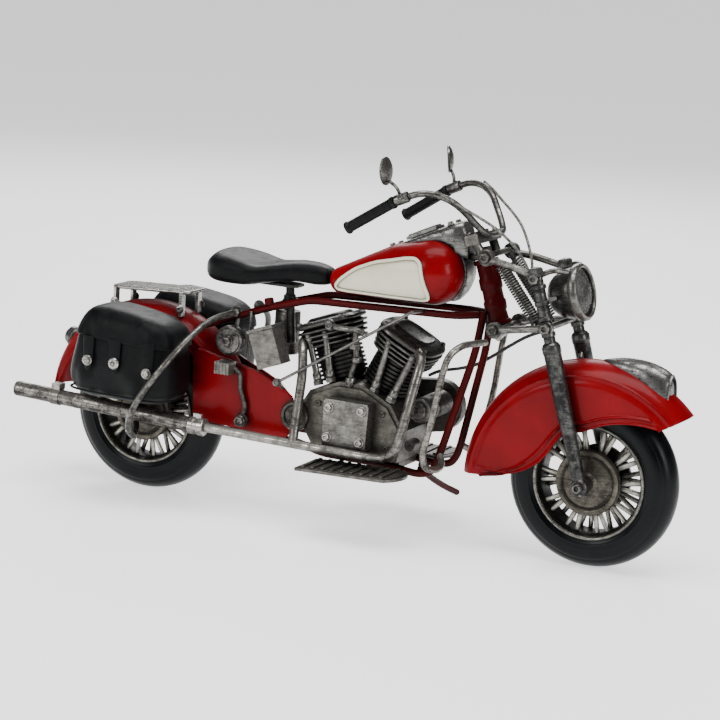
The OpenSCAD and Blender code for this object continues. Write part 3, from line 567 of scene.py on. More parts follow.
def fender_shape(centre, crown_r, side_r, half_w, crown_ends, side_ends, low_edge, bead_in=2.4, along=260, across=46):
    """A shell over (s, t). s runs from the rear tip to the front tip. t runs up one side from the lower edge to r = side_r,
    over the arch r = side_r + (crown_r - side_r) cos q, y = half_w sin q, and down the other side."""
    s = np.linspace(0, 1, along)[:, None]
    crown = np.radians(crown_ends[0] + (crown_ends[1] - crown_ends[0]) * s)
    side = np.radians(side_ends[0] + (side_ends[1] - side_ends[0]) * s)
    low = curve_through(s[:, 0], low_edge)[:, None]
    wall = np.linspace(0, 1, across)[None]
    wall_r = low + (side_r - low) * wall
    depth = np.abs(wall_r - low)
    from_tip = np.minimum(s, 1 - s) * np.radians(abs(side_ends[0] - side_ends[1])) * wall_r
    bead = 1.1 * np.exp(-((depth - bead_in) / 0.7) ** 2) * np.clip(from_tip / 4, 0, 1)
    bead += 1.0 * np.exp(-((from_tip - bead_in) / 0.7) ** 2) * np.clip(depth / 3, 0, 1) * (s < 0.5)
    wall_y = half_w + bead + 0.9 * np.exp(-(depth / 1.1) ** 2)
    q = np.radians(np.linspace(90, -90, 61))[None, 1:-1]
    ridge = 0.7 * np.exp(-((np.degrees(np.abs(q)) - 66) / 3.0) ** 2)
    arch_r = np.cos(q)
    sx, sz = side_r * np.cos(side), side_r * np.sin(side)
    cx, cz = crown_r * np.cos(crown), crown_r * np.sin(crown)
    ax = sx + (cx - sx) * arch_r + ridge * np.cos(side)
    az = sz + (cz - sz) * arch_r + ridge * np.sin(side)
    ay = half_w * np.sin(q) * (1 + ridge / half_w) + 0 * s
    wx, wz = wall_r * np.cos(side), wall_r * np.sin(side)
    x = np.concatenate([wx, ax, wx[:, ::-1]], axis=1) + centre[0]
    z = np.concatenate([wz, az, wz[:, ::-1]], axis=1) + centre[1]
    y = np.concatenate([wall_y, ay, -wall_y[:, ::-1]], axis=1)
    return grid_shape(np.stack([x, y, z], axis=-1))


rear_low = [(0, 53.2), (0.05, 50.6), (0.12, 50.2), (0.8, 50.2), (0.9, 50.5), (1, 49.8)]
rear_shell = fender_shape((0, 45), 60, 49.4, 15.5, (175.2, 7.8), (175.2, 9.2), rear_low, across=8)
make("rear_fender_pressed", [rear_shell], red_enamel, "frame", ["rear_fender"], sharp=60, wall=1.0)
front_edge = np.array([(204, 41.6), (214, 43.4), (224, 46.4), (232.5, 51), (239, 57.6), (243.4, 64.6), (248, 70),
                       (257, 72.2),
                       (266.5, 76.4), (277, 79), (288, 79.6), (298, 78.4)]) - (258.4, 38.3)
edge_turn = np.degrees(np.arctan2(front_edge[:, 1], front_edge[:, 0]))
front_low = np.stack([(176.6 - edge_turn) / (176.6 - 45.6), np.hypot(front_edge[:, 0], front_edge[:, 1])], 1)
front_shell = fender_shape((258.4, 38.3), 68.5, 56, 15.5, (178.4, 42.7), (176.6, 45.6), front_low, bead_in=4.2,
                           along=270, across=52)
make("front_fender_pressed", [front_shell], red_enamel, "fork", ["front_fender"], sharp=60, wall=1.0)

# ---- side skirts ----
# Flat red panels that close the space between the rear fender and the crankcase.
# The right one is longer, has a wired top edge and carries the stud of the kick lever.

skirt = [(36, 46.5), (92, 44), (95, 48), (95.4, 66), (90, 71), (80, 75.4), (68, 78.8), (54, 81.6), (40, 85), (34, 83)]
short = [(36, 46.5), (74, 44.9), (76, 48), (76, 60), (70, 66), (60, 71), (50, 75), (40, 80), (34, 81)]
skirts = other_side([side_view(slab(skirt, 16.2, 17.6)), tube(bent([(37, 16.9, 84.6), (54, 16.9, 81.4), (68, 16.9,
        78.6), (80, 16.9, 75.2), (94.6, 16.9, 66.4)], 6), 0.9)])
skirts.append(side_view(slab(short, 16.2, 17.6)))
stud = turned([(0, 0), (1.5, 0), (1.5, 5.2), (0, 5.2)], (67, -17, 50.7), (0, -1, 0), 24)
make("kick_stud_nut", nut((67, -22.3, 50.7), (0, -1, 0), 5.6, 2.6, 1.1), silver, "frame", bevel=0.12)
make("side_skirt_panels", skirts + [stud], red_enamel, "frame", ["side_skirts"], bevel=0.3)

# ---- luggage rack ----
# Silver wire frame with five flat slats soldered across it, on four bent straps
# that are bolted down through the crown of the rear fender.

rack_turn = dict(origin=(1.7, 0, 111.8), lean=-2.5)
loop = bent([(0, -9.4, 0), (24, -9.4, 0), (24, 9.4, 0), (-24, 9.4, 0), (-24, -9.4, 0), (0, -9.4, 0)], 4)
rack = [moved(tube(loop, 1.0, across=(0, 0, 1)), **rack_turn)]
for y in (-6.4, -3.2, 0, 3.2, 6.4):
    rack.append(moved(slab([(-23.6, y - 0.9), (23.6, y - 0.9), (23.6, y + 0.9), (-23.6, y + 0.9)], 0.1, 1.1),
                      **rack_turn))
strap = [(-20.6, 98.6), (-19.0, 98.6), (-19.0, 110.8), (-20.6, 110.7)]
front_strap = [(20.4, 99.4), (22.2, 99.4), (22.2, 112.6), (20.4, 112.6)]
for outline in (strap, front_strap):
    rack += both_sides([side_view(slab(outline, 7.0, 11.2))])
for x, z, s in ((-19.8, 103, -1), (21.3, 103.8, -1), (-19.8, 103, 1), (21.3, 103.8, 1)):
    rack += nut((x, s * 11.1, z), (0, s, 0), 3.6, 1.6)
rack_silver = aged_metal("rack_silver", (0.02, 0.018, 0.016), (0.44, 0.424, 0.392), patchy=0.35, rough=0.28,
                         shade_and_patina=1.5)
make("luggage_rack_soldered", rack, rack_silver, "frame", ["luggage_rack"], bevel=0.2)

# ---- tail lamp ----
# A turned silver lamp shell with a rolled rim and a domed face, on the rear fender.

lamp_profile = [(0, -1.5), (3.6, -1.5), (4.6, 0), (5.5, 2), (5.9, 3.4), (5.9, 4.4), (5.4, 5.0), (5.2, 5.6),
                (4.9, 6.8), (4.0, 8.0),
                (2.6, 8.8), (1.2, 9.15), (0, 9.2)]
make("tail_lamp_shell", [turned(lamp_profile, (-47.5, 0, 76), (-0.9135, 0, 0.4067), 64)], silver, "frame",
     ["tail_lamp"], sharp=50)

# ---- saddlebags ----
# Two stitched bags of thick black leather. The body is full and sags at the bottom,
# and a lid with a rolled edge is closed by three straps, each under a stud.


def leather(name, sheen, grain, deep=(0.0012, 0.0015, 0.0020), pale=(0.0045, 0.0055, 0.007)):
    """Black leather: small cells make the grain, broad noise the creases, and rubbed patches are greyer and duller."""
    f = Finish(name)
    cells = f.add("TexVoronoi", {"feature": "DISTANCE_TO_EDGE"}, {"Vector": f.place, "Scale": grain},
                  "Distance").within(0.0, 0.12)
    crease = f.noise(55, 5, 0.6)
    rub = f.noise(120, 5, 0.65).within(0.5, 0.78)
    colour = f.blend(rub * 0.6, deep + (1,), pale + (1,))
    return f.surface_is(Base_Color=colour, Roughness=sheen + rub * 0.22, Specular_IOR_Level=0.12,
                        Normal=f.bump(cells * 0.10 + crease * 0.9, 0.0011, 0.5))


bag_leather = leather("bag_leather", 0.36, 1300)
bag_low, bag_high = 57.0, 104.6


def bag_size(z):
    """Middle and half length in x of the bag at a height, and its half depth in y, which swells low down where the load sits."""
    t = (z - bag_low) / (bag_high - bag_low)
    rear = curve_through(t, [(-0.1, -22.0), (0.15, -24.6), (0.4, -24.0), (0.7, -20.0), (1.1, -13.0)])
    front = curve_through(t, [(-0.1, 36.5), (0.15, 38.8), (0.4, 38.6), (0.7, 37.6), (1.1, 36)])
    depth = curve_through(t, [(-0.1, 17.2), (0.2, 18.2), (0.55, 18.0), (0.8, 17.0), (1.1, 15.8)])
    return (rear + front) / 2, (front - rear) / 2, depth


def bag_shape(grow, from_turn, wrinkle, laps=120, rows=64):
    """A rounded box over (lap, rise): z goes as sin^0.42 of rise, and at each height x and y go round as cos^0.5 and sin^0.5
    of lap. The top slopes down to the front, and slow waves crease the outer face."""
    rise = np.radians(np.linspace(from_turn, 90, rows))[:, None]
    lap = np.linspace(0, 2 * np.pi, laps, endpoint=False)[None]
    size = np.abs(np.cos(rise)) ** 0.42
    z = (bag_low + bag_high) / 2 + (bag_high - bag_low) / 2 * np.sign(np.sin(rise)) * np.abs(np.sin(rise)) ** 0.42
    middle, length, depth = bag_size(z)
    cx = np.sign(np.cos(lap)) * np.abs(np.cos(lap)) ** 0.5
    cy = np.sign(np.sin(lap)) * np.abs(np.sin(lap)) ** 0.5
    x = middle + (length + grow) * size * cx
    y = -36.8 + (depth + grow) * size * cy
    slope = -0.13 * (x - 8) * np.clip((z - 80) / 22, 0, 1) ** 1.2
    z = z + grow * np.sin(rise) + slope
    face = np.clip((-y - 44) / 9, 0, 1) * size ** 2
    wave = 0.55 * np.sin(0.42 * x + 0.10 * z) + 0.35 * np.sin(0.75 * x - 0.22 * z + 1.3) + 0.3 * np.sin(0.33 * z + 0.2 * x)
    sag = 0.5 * np.sin(0.11 * x + 0.8)
    return grid_shape(np.stack([x + 0 * y, y - wrinkle * face * wave, z + sag * (1 - face) * wrinkle + 0 * y],
                               axis=-1), wrap_v=True)


def bag_face(x, z):
    """The y of the outer face at (x, z): the half depth times (1 - |x|^4)^(1/4), with x measured in half lengths."""
    middle, length, depth = bag_size(z)
    return -36.8 - depth * (1 - np.clip(np.abs((x - middle) / length), 0, 0.98) ** 4) ** 0.25


def strap_shape(x, top, low, wide, lean):
    """A tongue laid on the outer face: x + wide s narrowed by t^4 towards its tip, y = face - 1.5 - a crown of 0.35 (1 - s^2)."""
    s = np.linspace(-1, 1, 13)[None]
    t = np.linspace(0, 1, 22)[:, None]
    px = x + lean * t + s * wide * (1 - 0.28 * t) * np.sqrt(np.clip(1 - t ** 6, 0.03, 1))
    pz = top + (low - top) * t
    return grid_shape(np.stack([px, bag_face(px, pz) - 1.5 - 0.35 * (1 - s ** 2) + 0 * t, pz + 0 * s], axis=-1))


studs = [(-8.0, 78.6), (8.5, 79.0), (28.0, 76.0)]
lap = np.linspace(0, 2 * np.pi, 120, endpoint=False)
for side in ("right", "left"):
    turn = (lambda shapes: shapes) if side == "right" else other_side
    body = make("saddlebag_%s_body" % side, turn([bag_shape(0.0, -90, 1.0)]), bag_leather, "frame",
                ["saddlebag_" + side], sharp=80, levels=1)
    lid = make("saddlebag_%s_lid" % side, turn([bag_shape(1.3, 6.2, 0.7)]), bag_leather, "frame",
               sharp=80, wall=0.9, levels=1)
    tongues = [strap_shape(x - 0.6, 92.0, z - 5.6, 3.9, 0.9) for x, z in studs]
    make("saddlebag_%s_straps" % side, turn(tongues), bag_leather, "frame", sharp=70, wall=0.8,
         levels=1)
    low_middle, low_length, low_depth = bag_size(np.full(120, 62.0))
    welt = np.stack([low_middle + (low_length + 0.1) * 0.985 * np.sign(np.cos(lap)) * np.abs(np.cos(lap)) ** 0.5,
                     -36.8 + (low_depth + 0.1) * 0.985 * np.sign(np.sin(lap)) * np.abs(np.sin(lap)) ** 0.5,
                     61.2 + 0.4 * np.sin(2 * lap)], 1)
    welt = welt[np.linalg.norm(welt - np.roll(welt, 1, axis=0), axis=1) > 0.05]
    make("saddlebag_%s_welt" % side, turn([tube(welt, 0.62, across=(0, 0, 1), sides=8, close=True)]), bag_leather,
         "frame", sharp=80)

# ---- bag studs ----
# Bright washers and nuts that hold the straps, one of them a plain round washer.

stud_shapes = []
for k, (x, z) in enumerate(studs):
    y = float(bag_face(np.array(x), np.array(z))) - 1.9
    if k == 1:
        stud_shapes.append(turned([(0, 0), (3.1, 0), (3.2, 0.5), (2.6, 1.1), (1.5, 1.25), (1.3, 0.8), (0.8, 0.8),
                                   (0.6, 1.3), (0, 1.35)], (x, y, z), (0, -1, 0), 40))
    else:
        stud_shapes += nut((x, y, z), (0, -1, 0), 4.6, 1.9, 1.25)
bright_silver = aged_metal("bright_silver", (0.0275, 0.0248, 0.022), (0.527, 0.51, 0.468), patchy=0.35, rough=0.30,
                           shade_and_patina=1.1)
make("bag_strap_studs", both_sides(stud_shapes), bright_silver, "frame", ["bag_studs"], bevel=0.12)

# ---- bag guards ----
# Bent silver bars that run from the upper rails out round each bag and back in to
# the axle plate. Each top end is flattened round a bolt on the rail.

guard = bent([(57, 13, 107), (50, 30, 104.4), (45.5, 48, 94), (37.4, 58.6, 79.8), (25, 59.6, 62.2), (16.5, 55, 46.8),
              (13, 41, 36.5),
              (6, 26, 38), (1.5, 19.6, 43.5)], 30, 12)
guards = [tube(guard, 1.7, across=(1, 0, 0))] + nut((57, 12.4, 107), (0, 1, 0), 4.8, 2.8)
make("bag_guard_bars", both_sides(guards), silver, "frame", ["bag_guards"], bevel=0.12)

# ---- exhaust ----
# Two thin steel header pipes, bent round the crankcase and joined low on the right,
# then a clamp with two lugs and a long plain silencer with an open end.

pipe_metal = aged_metal("pipe_metal", (0.0138, 0.0121, 0.0105), (0.311, 0.296, 0.266), patchy=0.75, rough=0.36,
                        shade_and_patina=1.2)
rear_end, front_end = np.array([-68, -31, 50.8]), np.array([46, -31, 46.4])
length = float(np.linalg.norm(front_end - rear_end))
silencer_profile = [(0, 26), (3.3, 26), (3.35, 0.4), (3.6, 0), (4.0, 0.2), (4.15, 1.0), (4.1, 2.2), (4.1, 38),
                    (4.22, 38.6), (4.22, 39.8),
                    (4.1, 40.4), (4.1, 76), (4.18, 76.6), (4.1, 77.2), (4.1, length - 1), (3.7, length), (0, length)]
hanger = [moved(slab([(-2.6, -3), (2.6, -3), (2.6, 3), (-2.6, 3)], -1.7, 1.7), (-42, -30, 55.4), 2),
          turned([(4.15, -3), (4.6, -2.8), (4.6, 2.8), (4.15, 3)], (-42, -31, 49.8), (1, 0, -0.0386), 48)]
make("silencer_pipe", [turned(silencer_profile, rear_end, front_end - rear_end, 64)] + hanger, pipe_metal, "frame",
     ["silencer"],
     bevel=0.1, sharp=40)
clamp_profile = [(0, 0), (4.5, 0), (4.9, 0.4), (4.9, 2.9), (4.45, 3.2), (4.45, 5.4), (4.9, 5.7), (4.9, 8.5),
                 (4.4, 9), (0, 9)]
clamp = [turned(clamp_profile, (42, -31, 46.55), (1, 0, -0.0389), 48),
         moved(slab([(-2.4, -1), (2.4, -1), (2.4, 1), (-2.4, 1)], -1.6, 1.6), (46.4, -31, 51.6), 2)]
make("exhaust_clamp_ring", clamp, bright_silver, "frame", ["exhaust_clamp"], bevel=0.15)
front_pipe = bent([(46, -31, 46.4), (148, -31, 44.6), (155, -31, 45.2), (160.4, -31, 48), (163, -30.6, 54),
                   (165.6, -28, 68), (167.6, -24, 84),
                   (168.4, -20, 94), (167.6, -17, 98), (163, -12, 99.8)], 9)
make("front_header_pipe", [tube(front_pipe, 2.5, across=(0.3, 1, 0.3))], pipe_metal, "frame",
     ["front_header"])
rear_pipe = bent([(103.5, -31, 45.6), (103, -28.6, 54), (103, -26, 66), (103.4, -24, 80), (102.4, -22, 87),
                  (100, -18, 93), (97.4, -13, 96.6),
                  (98, -10, 98)], 9)
make("rear_header_pipe", [tube(rear_pipe, 2.5, across=(1, 0, 0))], pipe_metal, "frame",
     ["rear_header"])

# ---- saddle ----
# One stuffed saddle of black leather over a steel pan: broad and raised at the back,
# dished where the rider sits and narrowing to a nose that lies on the tank.

seat_leather = leather("seat_leather", 0.30, 1700)
u = np.linspace(0, 1, 96)[:, None]
x = 34.9 + 74.4 * (1 - np.cos(np.pi * u)) / 2
half = curve_through(x, [(34.9, 0), (36.4, 9.4), (39, 14.6), (43, 18.8), (49, 21.0), (58, 21.4), (66, 20.8), (74,
        17.4), (82, 12.6), (92, 9.3),
                         (101, 7.6), (106, 5.6), (109.3, 0)])
top = curve_through(x, [(34.9, 129.6), (36.4, 133.4), (39, 136.0), (43, 138.2), (50, 139.2), (58, 138.4), (68,
        135.8), (78, 136.2), (90, 137.2),
                        (101, 136.4), (106, 134.2), (109.3, 130.4)])
low = curve_through(x, [(34.9, 127.6), (36.4, 125.4), (39, 123.4), (43, 122.2), (52, 121.6), (62, 122.0), (73,
        124.2), (86, 126.2), (101, 125.8),
                        (106, 126.9), (109.3, 129.4)])
v = np.linspace(0, 2 * np.pi, 112, endpoint=False)[None]
across = np.sign(np.cos(v)) * np.abs(np.cos(v)) ** 0.72
rise = np.sign(np.sin(v)) * np.abs(np.sin(v)) ** np.where(np.sin(v) > 0, 0.78, 0.45)
dish = 2.6 * np.exp(-((x - 62) / 13) ** 2) * (1 - np.abs(across) ** 2.4) - 0.9 * np.exp(-((x - 44) / 6) ** 2) * (1 - across ** 2)
crease = 0.35 * np.exp(-((x - 77) / 3.5) ** 2) * np.abs(across) ** 2
seat_points = np.stack([x + 0 * v, half * across * (1 - crease / 6),
                        np.where(rise > 0, (top + low) / 2 + (top - low) / 2 * rise - dish * np.abs(rise) ** 2,
                        (top + low) / 2 + (top - low) / 2 * rise)], axis=-1)
saddle = make("saddle_cover", [grid_shape(seat_points, wrap_v=True)], seat_leather, "frame",
              ["seat"], sharp=80, levels=1)

# ---- battery box and horn ----
# A leaning sheet-metal box with a lid on the right, a can behind it on the left, and
# a dished horn disc on its own bracket below the rail.

tin = aged_metal("worn_tin", (0.0066, 0.006, 0.0055), (0.144, 0.138, 0.123), patchy=0.7, rough=0.40, shade_and_patina=1.5)
box = [moved(slab([(-7.3, -5.5), (7.3, -5.5), (7.3, 5.5), (-7.3, 5.5)], -10, 9.6), (79.5, -16.5, 91.4), -20),
       moved(slab([(-7.9, -6.1), (7.9, -6.1), (7.9, 6.1), (-7.9, 6.1)], 9.8, 11.4), (79.5, -16.5, 91.4), -20),
       turned([(0, 0), (5.9, 0), (6.5, 0.7), (6.5, 22.6), (6.0, 23.4), (3, 24), (2.2, 25), (0, 25)], (74, 15, 83),
              (0, 0, 1), 48)]
box += both_sides([tube([(67, 15, 109), (66, 15, 84)], 0.8)])
make("battery_box_and_oil_can", box, tin, "frame", ["battery_box"], bevel=0.35)
horn = [turned([(0, 0), (7.6, 0), (8.1, 0.5), (8.1, 4.6), (7.8, 5.2), (6.9, 5.4), (6.5, 6.2), (0, 6.6)],
               (57.3, -16, 92.6), (0, -1, 0), 64),
        tube([(57.3, -17, 92.6), (58, -12, 105.6)], 1.1)] + nut((57.3, -22.3, 92.6), (0, -1, 0), 5.2, 2.5, 1.2)
make("horn_disc", horn, silver, "frame", ["horn"], bevel=0.15)

# ---- crankcase ----
# The engine's lower half, cast as one block with a rounded edge, a bearing boss at
# the back, seats for the pushrods and a sump below.

case_metal = aged_metal("case_metal", (0.0072, 0.0066, 0.0055), (0.09, 0.086, 0.073), patchy=0.55, rough=0.40,
                        shade_and_patina=1.3)
case = [side_view(slab([(110, 41), (158, 41), (161, 58), (153, 71), (136, 79.4), (123, 79.4), (106, 72.6), (98, 60)],
                       -18.8, 18.8)),
        side_view(slab([(112, 44), (156, 44), (158.5, 58), (151, 69.4), (136, 77), (123, 77), (108, 70.6),
                        (101, 60)], -19.9, 19.4)),
        turned([(0, 0), (7.4, 0), (8, 0.6), (8, 9), (7.2, 9.6), (6, 9.6), (5.4, 8.8), (3, 8.8), (2.6, 10),
                (0, 10.4)], (98.5, -12, 57.7), (0, -1, 0), 56),
        moved(slab([(-22, -11), (22, -11), (22, 11), (-22, 11)], -3, 3), (134, 0, 39.2))]
case += nut((165, -17.6, 51.6), (0, -1, 0), 4.2, 2.2) + [turned([(0, 0), (3, 0), (3, 7.4), (0, 7.4)], (165, -12,
        51.6), (0, -1, 0), 32)]
case += nut((98.5, -22, 57.7), (0, -1, 0), 3.2, 1.2)
case += nut((149, -19.8, 66), (0, -1, 0), 2.8, 1.2) + nut((152, -19.8, 48), (0, -1, 0), 2.8,
                                                          1.2) + nut((112, -19.8, 66.6), (0, -1, 0), 2.8, 1.2)
make("crankcase_casting", case, case_metal, "frame", ["crankcase"], bevel=0.9, sharp=32)

# ---- timing cover ----
# A squarish cast cover on the right of the crankcase, held by four hexagon nuts on
# washers.

cover = [side_view(slab([(118.6, 46.8), (119.4, 46.2), (142.6, 46.0), (143.6, 46.9), (144.6, 70.2), (143.6, 71.4),
                         (119.6, 71.6), (118.4, 70.4)], -28, -19))]
cover_nuts = []
for x_at, z_at in ((121.9, 67), (140.6, 67.4), (121.5, 51.2), (140.2, 50.6)):
    cover_nuts += nut((x_at, -27.9, z_at), (0, -1, 0), 4.1, 2.3, 1.35)
make("timing_cover_nuts", cover_nuts, bright_silver, "frame", bevel=0.12)
make("timing_cover_bolted", cover, aged_metal("cover_metal", (0.0088, 0.0083, 0.0072), (0.165, 0.16, 0.143),
                                              patchy=0.65, rough=0.36, shade_and_patina=1.3),
     "frame", ["timing_cover"], bevel=0.45, sharp=32)

# ---- primary cover and generator ----
# The long cast cover of the primary chain on the left, and the generator, a ribbed
# can that lies across the frame ahead of the crankcase.

angle_a, angle_b = np.radians(np.linspace(95, 275, 25)), np.radians(np.linspace(-85, 95, 25))
primary_line = np.concatenate([np.stack([112 + 17 * np.cos(angle_a), 58 + 17 * np.sin(angle_a)], 1),
                               np.stack([163 + 14 * np.cos(angle_b), 66 + 14 * np.sin(angle_b)], 1)])
primary = [side_view(slab(primary_line, 19, 25)),
           turned([(0, 0), (13, 0), (13, 1), (11.6, 1.9), (6, 2.2), (5.4, 3.2), (0, 3.4)], (112, 24.8, 58),
                  (0, 1, 0), 64),
           turned([(0, 0.2), (9.6, 0.2), (10.4, 0), (11.4, 0.9), (10.4, 1.5), (9.4, 0.8), (4, 0.8), (3.4, 1.8),
                   (0, 2)], (163, 24.8, 66), (0, 1, 0), 64)]
for x_at, z_at in ((99, 66), (104, 45), (130, 48.6), (131, 74), (150, 77), (152, 54.6), (172, 58.6)):
    primary += nut((x_at, 24.8, z_at), (0, 1, 0), 2.8, 1.3)
make("primary_chain_cover", primary, case_metal, "frame", ["primary_cover"], bevel=0.5, sharp=32)
dynamo = [turned([(0, -12), (5.8, -12), (6.4, -11.4), (6.4, 4), (6.0, 4.6), (6.0, 6), (6.4, 6.6), (6.4, 14),
                  (6.0, 14.6), (6.0, 16), (6.4, 16.6),
                  (6.4, 17.8), (5.8, 18.4), (4.4, 18.4), (4.4, 19.6), (4, 20), (0, 20)], (168.6, 0, 70.2),
                  (0, -1, 0), 48)]
make("generator_can", dynamo + nut((168.6, -19.9, 70.2), (0, -1, 0), 3.4, 1.4), tin, "frame",
     ["generator"], bevel=0.12)

# ---- cylinders ----
# Two finned barrels in a V, cast in dark iron. Thin round fins stand close together
# on the bore, and each barrel has a flange on the crankcase.


def on_bore(shape, which):
    """Puts a shape with Z along its bore onto the rear or the front cylinder's seat."""
    return moved(shape, *(((118.6, 0, 75.4), -20) if which == "rear" else ((139.4, 0, 74.6), 27)))


def fin_steps(low, high, pitch, thin, core, rim):
    """A profile that goes out and back once a pitch: (core, h), (rim, h + 0.1), (rim, h + thin), (core, h + thin + 0.1)."""
    h = np.arange(low, high, pitch)[:, None]
    steps = np.array([[0, 0], [0, 0.12], [0, thin], [0, thin + 0.12]])[None] + 0
    r = np.array([core, rim, rim, core])[None]
    return np.stack([r + 0 * h, h + steps[..., 1]], axis=-1).reshape(-1, 2)


barrel = np.concatenate([[(0, 0), (10.6, 0), (10.6, 1.6), (9.2, 2)], fin_steps(4.0, 22.6, 2.25, 1.35, 11.6, 12.9),
                         [(9.4, 24), (0, 24)]])
barrel_iron = aged_metal("barrel_iron", (0.003, 0.003, 0.0028), (0.033, 0.032, 0.029), patchy=0.8, rough=0.42,
                         shade_and_patina=2.6)
for which in ("rear", "front"):
    shape = on_bore(turned(barrel, (0, 0, 0), (0, 0, 1), 96), which)
    make(which + "_cylinder_barrel", [shape], barrel_iron, "frame", [which + "_cylinder"], sharp=30)

# ---- cylinder heads ----
# Cast heads with thick rounded fins that widen upwards. A smooth cover with an oval
# bead closes the top, and four nuts hold it down.


def rounded_stack(profile, power=0.62, sides=128):
    """Rounded oblongs stacked along Z: x = a |cos|^power and y = b |sin|^power, with (a, b, h) read from the profile."""
    p = np.asarray(profile, float)
    angle = np.linspace(0, 2 * np.pi, sides, endpoint=False)[None]
    cx = np.sign(np.cos(angle)) * np.abs(np.cos(angle)) ** power
    cy = np.sign(np.sin(angle)) * np.abs(np.sin(angle)) ** power
    return grid_shape(np.stack([p[:, :1] * cx, p[:, 1:2] * cy, p[:, 2:] + 0 * angle], axis=-1), wrap_v=True)


fins = []
for k, h in enumerate((22.0, 24.6, 27.2, 29.8)):
    a, b = 15.6 + 0.5 * k, 15.4 + 0.5 * k
    fins += [(a - 1.9, b - 1.8, h), (a - 0.5, b - 0.5, h + 0.1), (a, b, h + 0.55), (a, b, h + 1.15),
             (a - 0.5, b - 0.5, h + 1.6), (a - 1.9, b - 1.8, h + 1.75)]
cap_top = [(14.0, 14.0, 32.2), (16.6, 16.4, 32.6), (17.2, 17.0, 33.3), (17.0, 16.8, 34.4), (15.8, 15.4, 35.4),
           (13.6, 13.0, 35.9), (11.6, 10.8, 36.0), (11.0, 9.8, 36.9),
           (9.9, 8.8, 37.4), (8.8, 7.8, 36.9), (5.0, 4.6, 36.4), (0, 0, 36.3)]
head_stack = [(0, 0, 21.8), (11, 11, 21.8)] + fins + cap_top
head_metal = aged_metal("head_metal", (0.0044, 0.0041, 0.0039), (0.084, 0.081, 0.073), patchy=0.6, rough=0.36,
                        shade_and_patina=1.7)
for which in ("rear", "front"):
    parts = [rounded_stack(head_stack)]
    for bx in (-12.6, 12.6):
        for by in (-12.0, 12.0):
            parts += nut((bx, by, 34.6), (0, 0, 1), 3.0, 2.0, 1.2)
    parts = [on_bore(part, which) for part in parts]
    make(which + "_head_casting", parts, head_metal, "frame", [which + "_head"], sharp=32)

# ---- pushrod tubes ----
# Two thin bright tubes to each head, each in a hexagon gland on the crankcase and
# with a collar at its top.

rods = []
for low_end, high_end in (((108.5, -15.6, 78), (100.6, -13.4, 101)), ((116, -15.8, 80.6), (110.6, -13.8, 104)),
                          ((142, -15.8, 78.6), (148, -13.8, 104)), ((152, -15.8, 75), (162, -13.4, 98.6))):
    low_end, high_end = np.array(low_end), np.array(high_end)
    span = high_end - low_end
    reach = float(np.linalg.norm(span))
    rods.append(turned([(0, -3), (1.8, -3), (1.8, reach), (0, reach)], low_end, span, 24))
    rods.append(turned([(0, -3), (2.9, -3), (2.9, -0.6), (2.3, 0), (0, 0)], low_end, span, 6))
    rods.append(turned([(0, 0), (2.1, 0), (2.3, 0.4), (2.3, 3.2), (1.9, 3.8), (0, 3.8)], low_end, span, 24))
    rods.append(turned([(0, reach - 4), (2.0, reach - 4), (2.2, reach - 3.6), (2.2, reach), (0, reach)], low_end,
                       span, 24))
make("pushrod_tubes_and_glands", rods, silver, "frame", ["pushrod_tubes"], bevel=0.12)

# ---- intake pipe ----
# A short pipe between the heads with a gland nut at each end, and a bent branch
# with two swellings that drops to the crankcase.

intake = [tube(bent([(112, -14.5, 108.5), (118, -17, 107.2), (131, -17.4, 107.2), (134, -16, 106)], 4), 1.7,
               across=(0, 0, 1)),
          tube(bent([(129.8, -17.2, 107), (129.6, -17.4, 100), (131.4, -17.8, 92), (128.8, -18.4, 84),
                     (128.6, -18.4, 76)], 6), 1.5, across=(0, 1, 0)),
          turned([(0, 0), (2.9, 0), (2.9, 2.6), (0, 2.6)], (129.6, -17.4, 100.2), (0, 0, -1), 6),
          turned([(0, 0), (2.2, 0), (2.6, 1.4), (2.2, 2.8), (0, 2.8)], (131.3, -17.8, 93.4), (0, 0, -1), 24),
          turned([(0, 0), (2.3, 0), (2.7, 0.6), (2.7, 2.6), (0, 2.6)], (128.8, -18.4, 82.4), (0, 0, -1), 24)]
intake += nut((114.4, -16.4, 108), (0, -1, 0), 5.0, 2.4, 1.25) + nut((128.6, -19.4, 79.4), (0, -1, 0), 3.4, 1.8)
make("intake_pipe_and_branch", intake, silver, "frame", ["intake_pipe"], bevel=0.12)

# ---- fuel tank ----
# A pressed and soldered teardrop tank in red enamel, round and full at the front and
# low at the back, with a flat bottom on the upper rails.

balls = np.array([[x, s * y, z, r] for x, y, z, r in ((167, 5.6, 141.3, 17), (151, 5.6, 139.3, 15.4), (116, 6.2,
        130.8, 7.4)) for s in (-1, 1)])


def tank_skin(normals):
    """The skin stretched over six balls: the point that each normal touches is centre + radius n of the ball that reaches
    furthest along n."""
    reach = normals @ balls[:, :3].T + balls[:, 3]
    k = np.argmax(reach, axis=-1)
    return balls[k, :3] + balls[k, 3:] * normals


def tank_edge(axis, others, steps=150):
    """How far the tank goes along +axis at given other coordinates: the least of (reach(n) - n . others) / n_axis over normals n."""
    a, b = np.meshgrid(np.radians(np.linspace(-88, 88, steps)), np.radians(np.linspace(-88, 88, steps)))
    n = np.stack([np.cos(a) * np.cos(b), np.sin(a) * np.cos(b), np.sin(b)], axis=-1).reshape(-1, 3)
    n = np.roll(n, axis, axis=1)
    reach = np.max(n @ balls[:, :3].T + balls[:, 3], axis=1)
    rest = [i for i in range(3) if i != axis]
    flat = np.asarray(others, float).reshape(-1, 2)
    cut = [np.min((reach - part @ n[:, rest].T) / n[:, axis], axis=1) for part in np.array_split(flat,
            max(1, len(flat) // 400))]
    return np.concatenate(cut).reshape(np.asarray(others).shape[:-1])


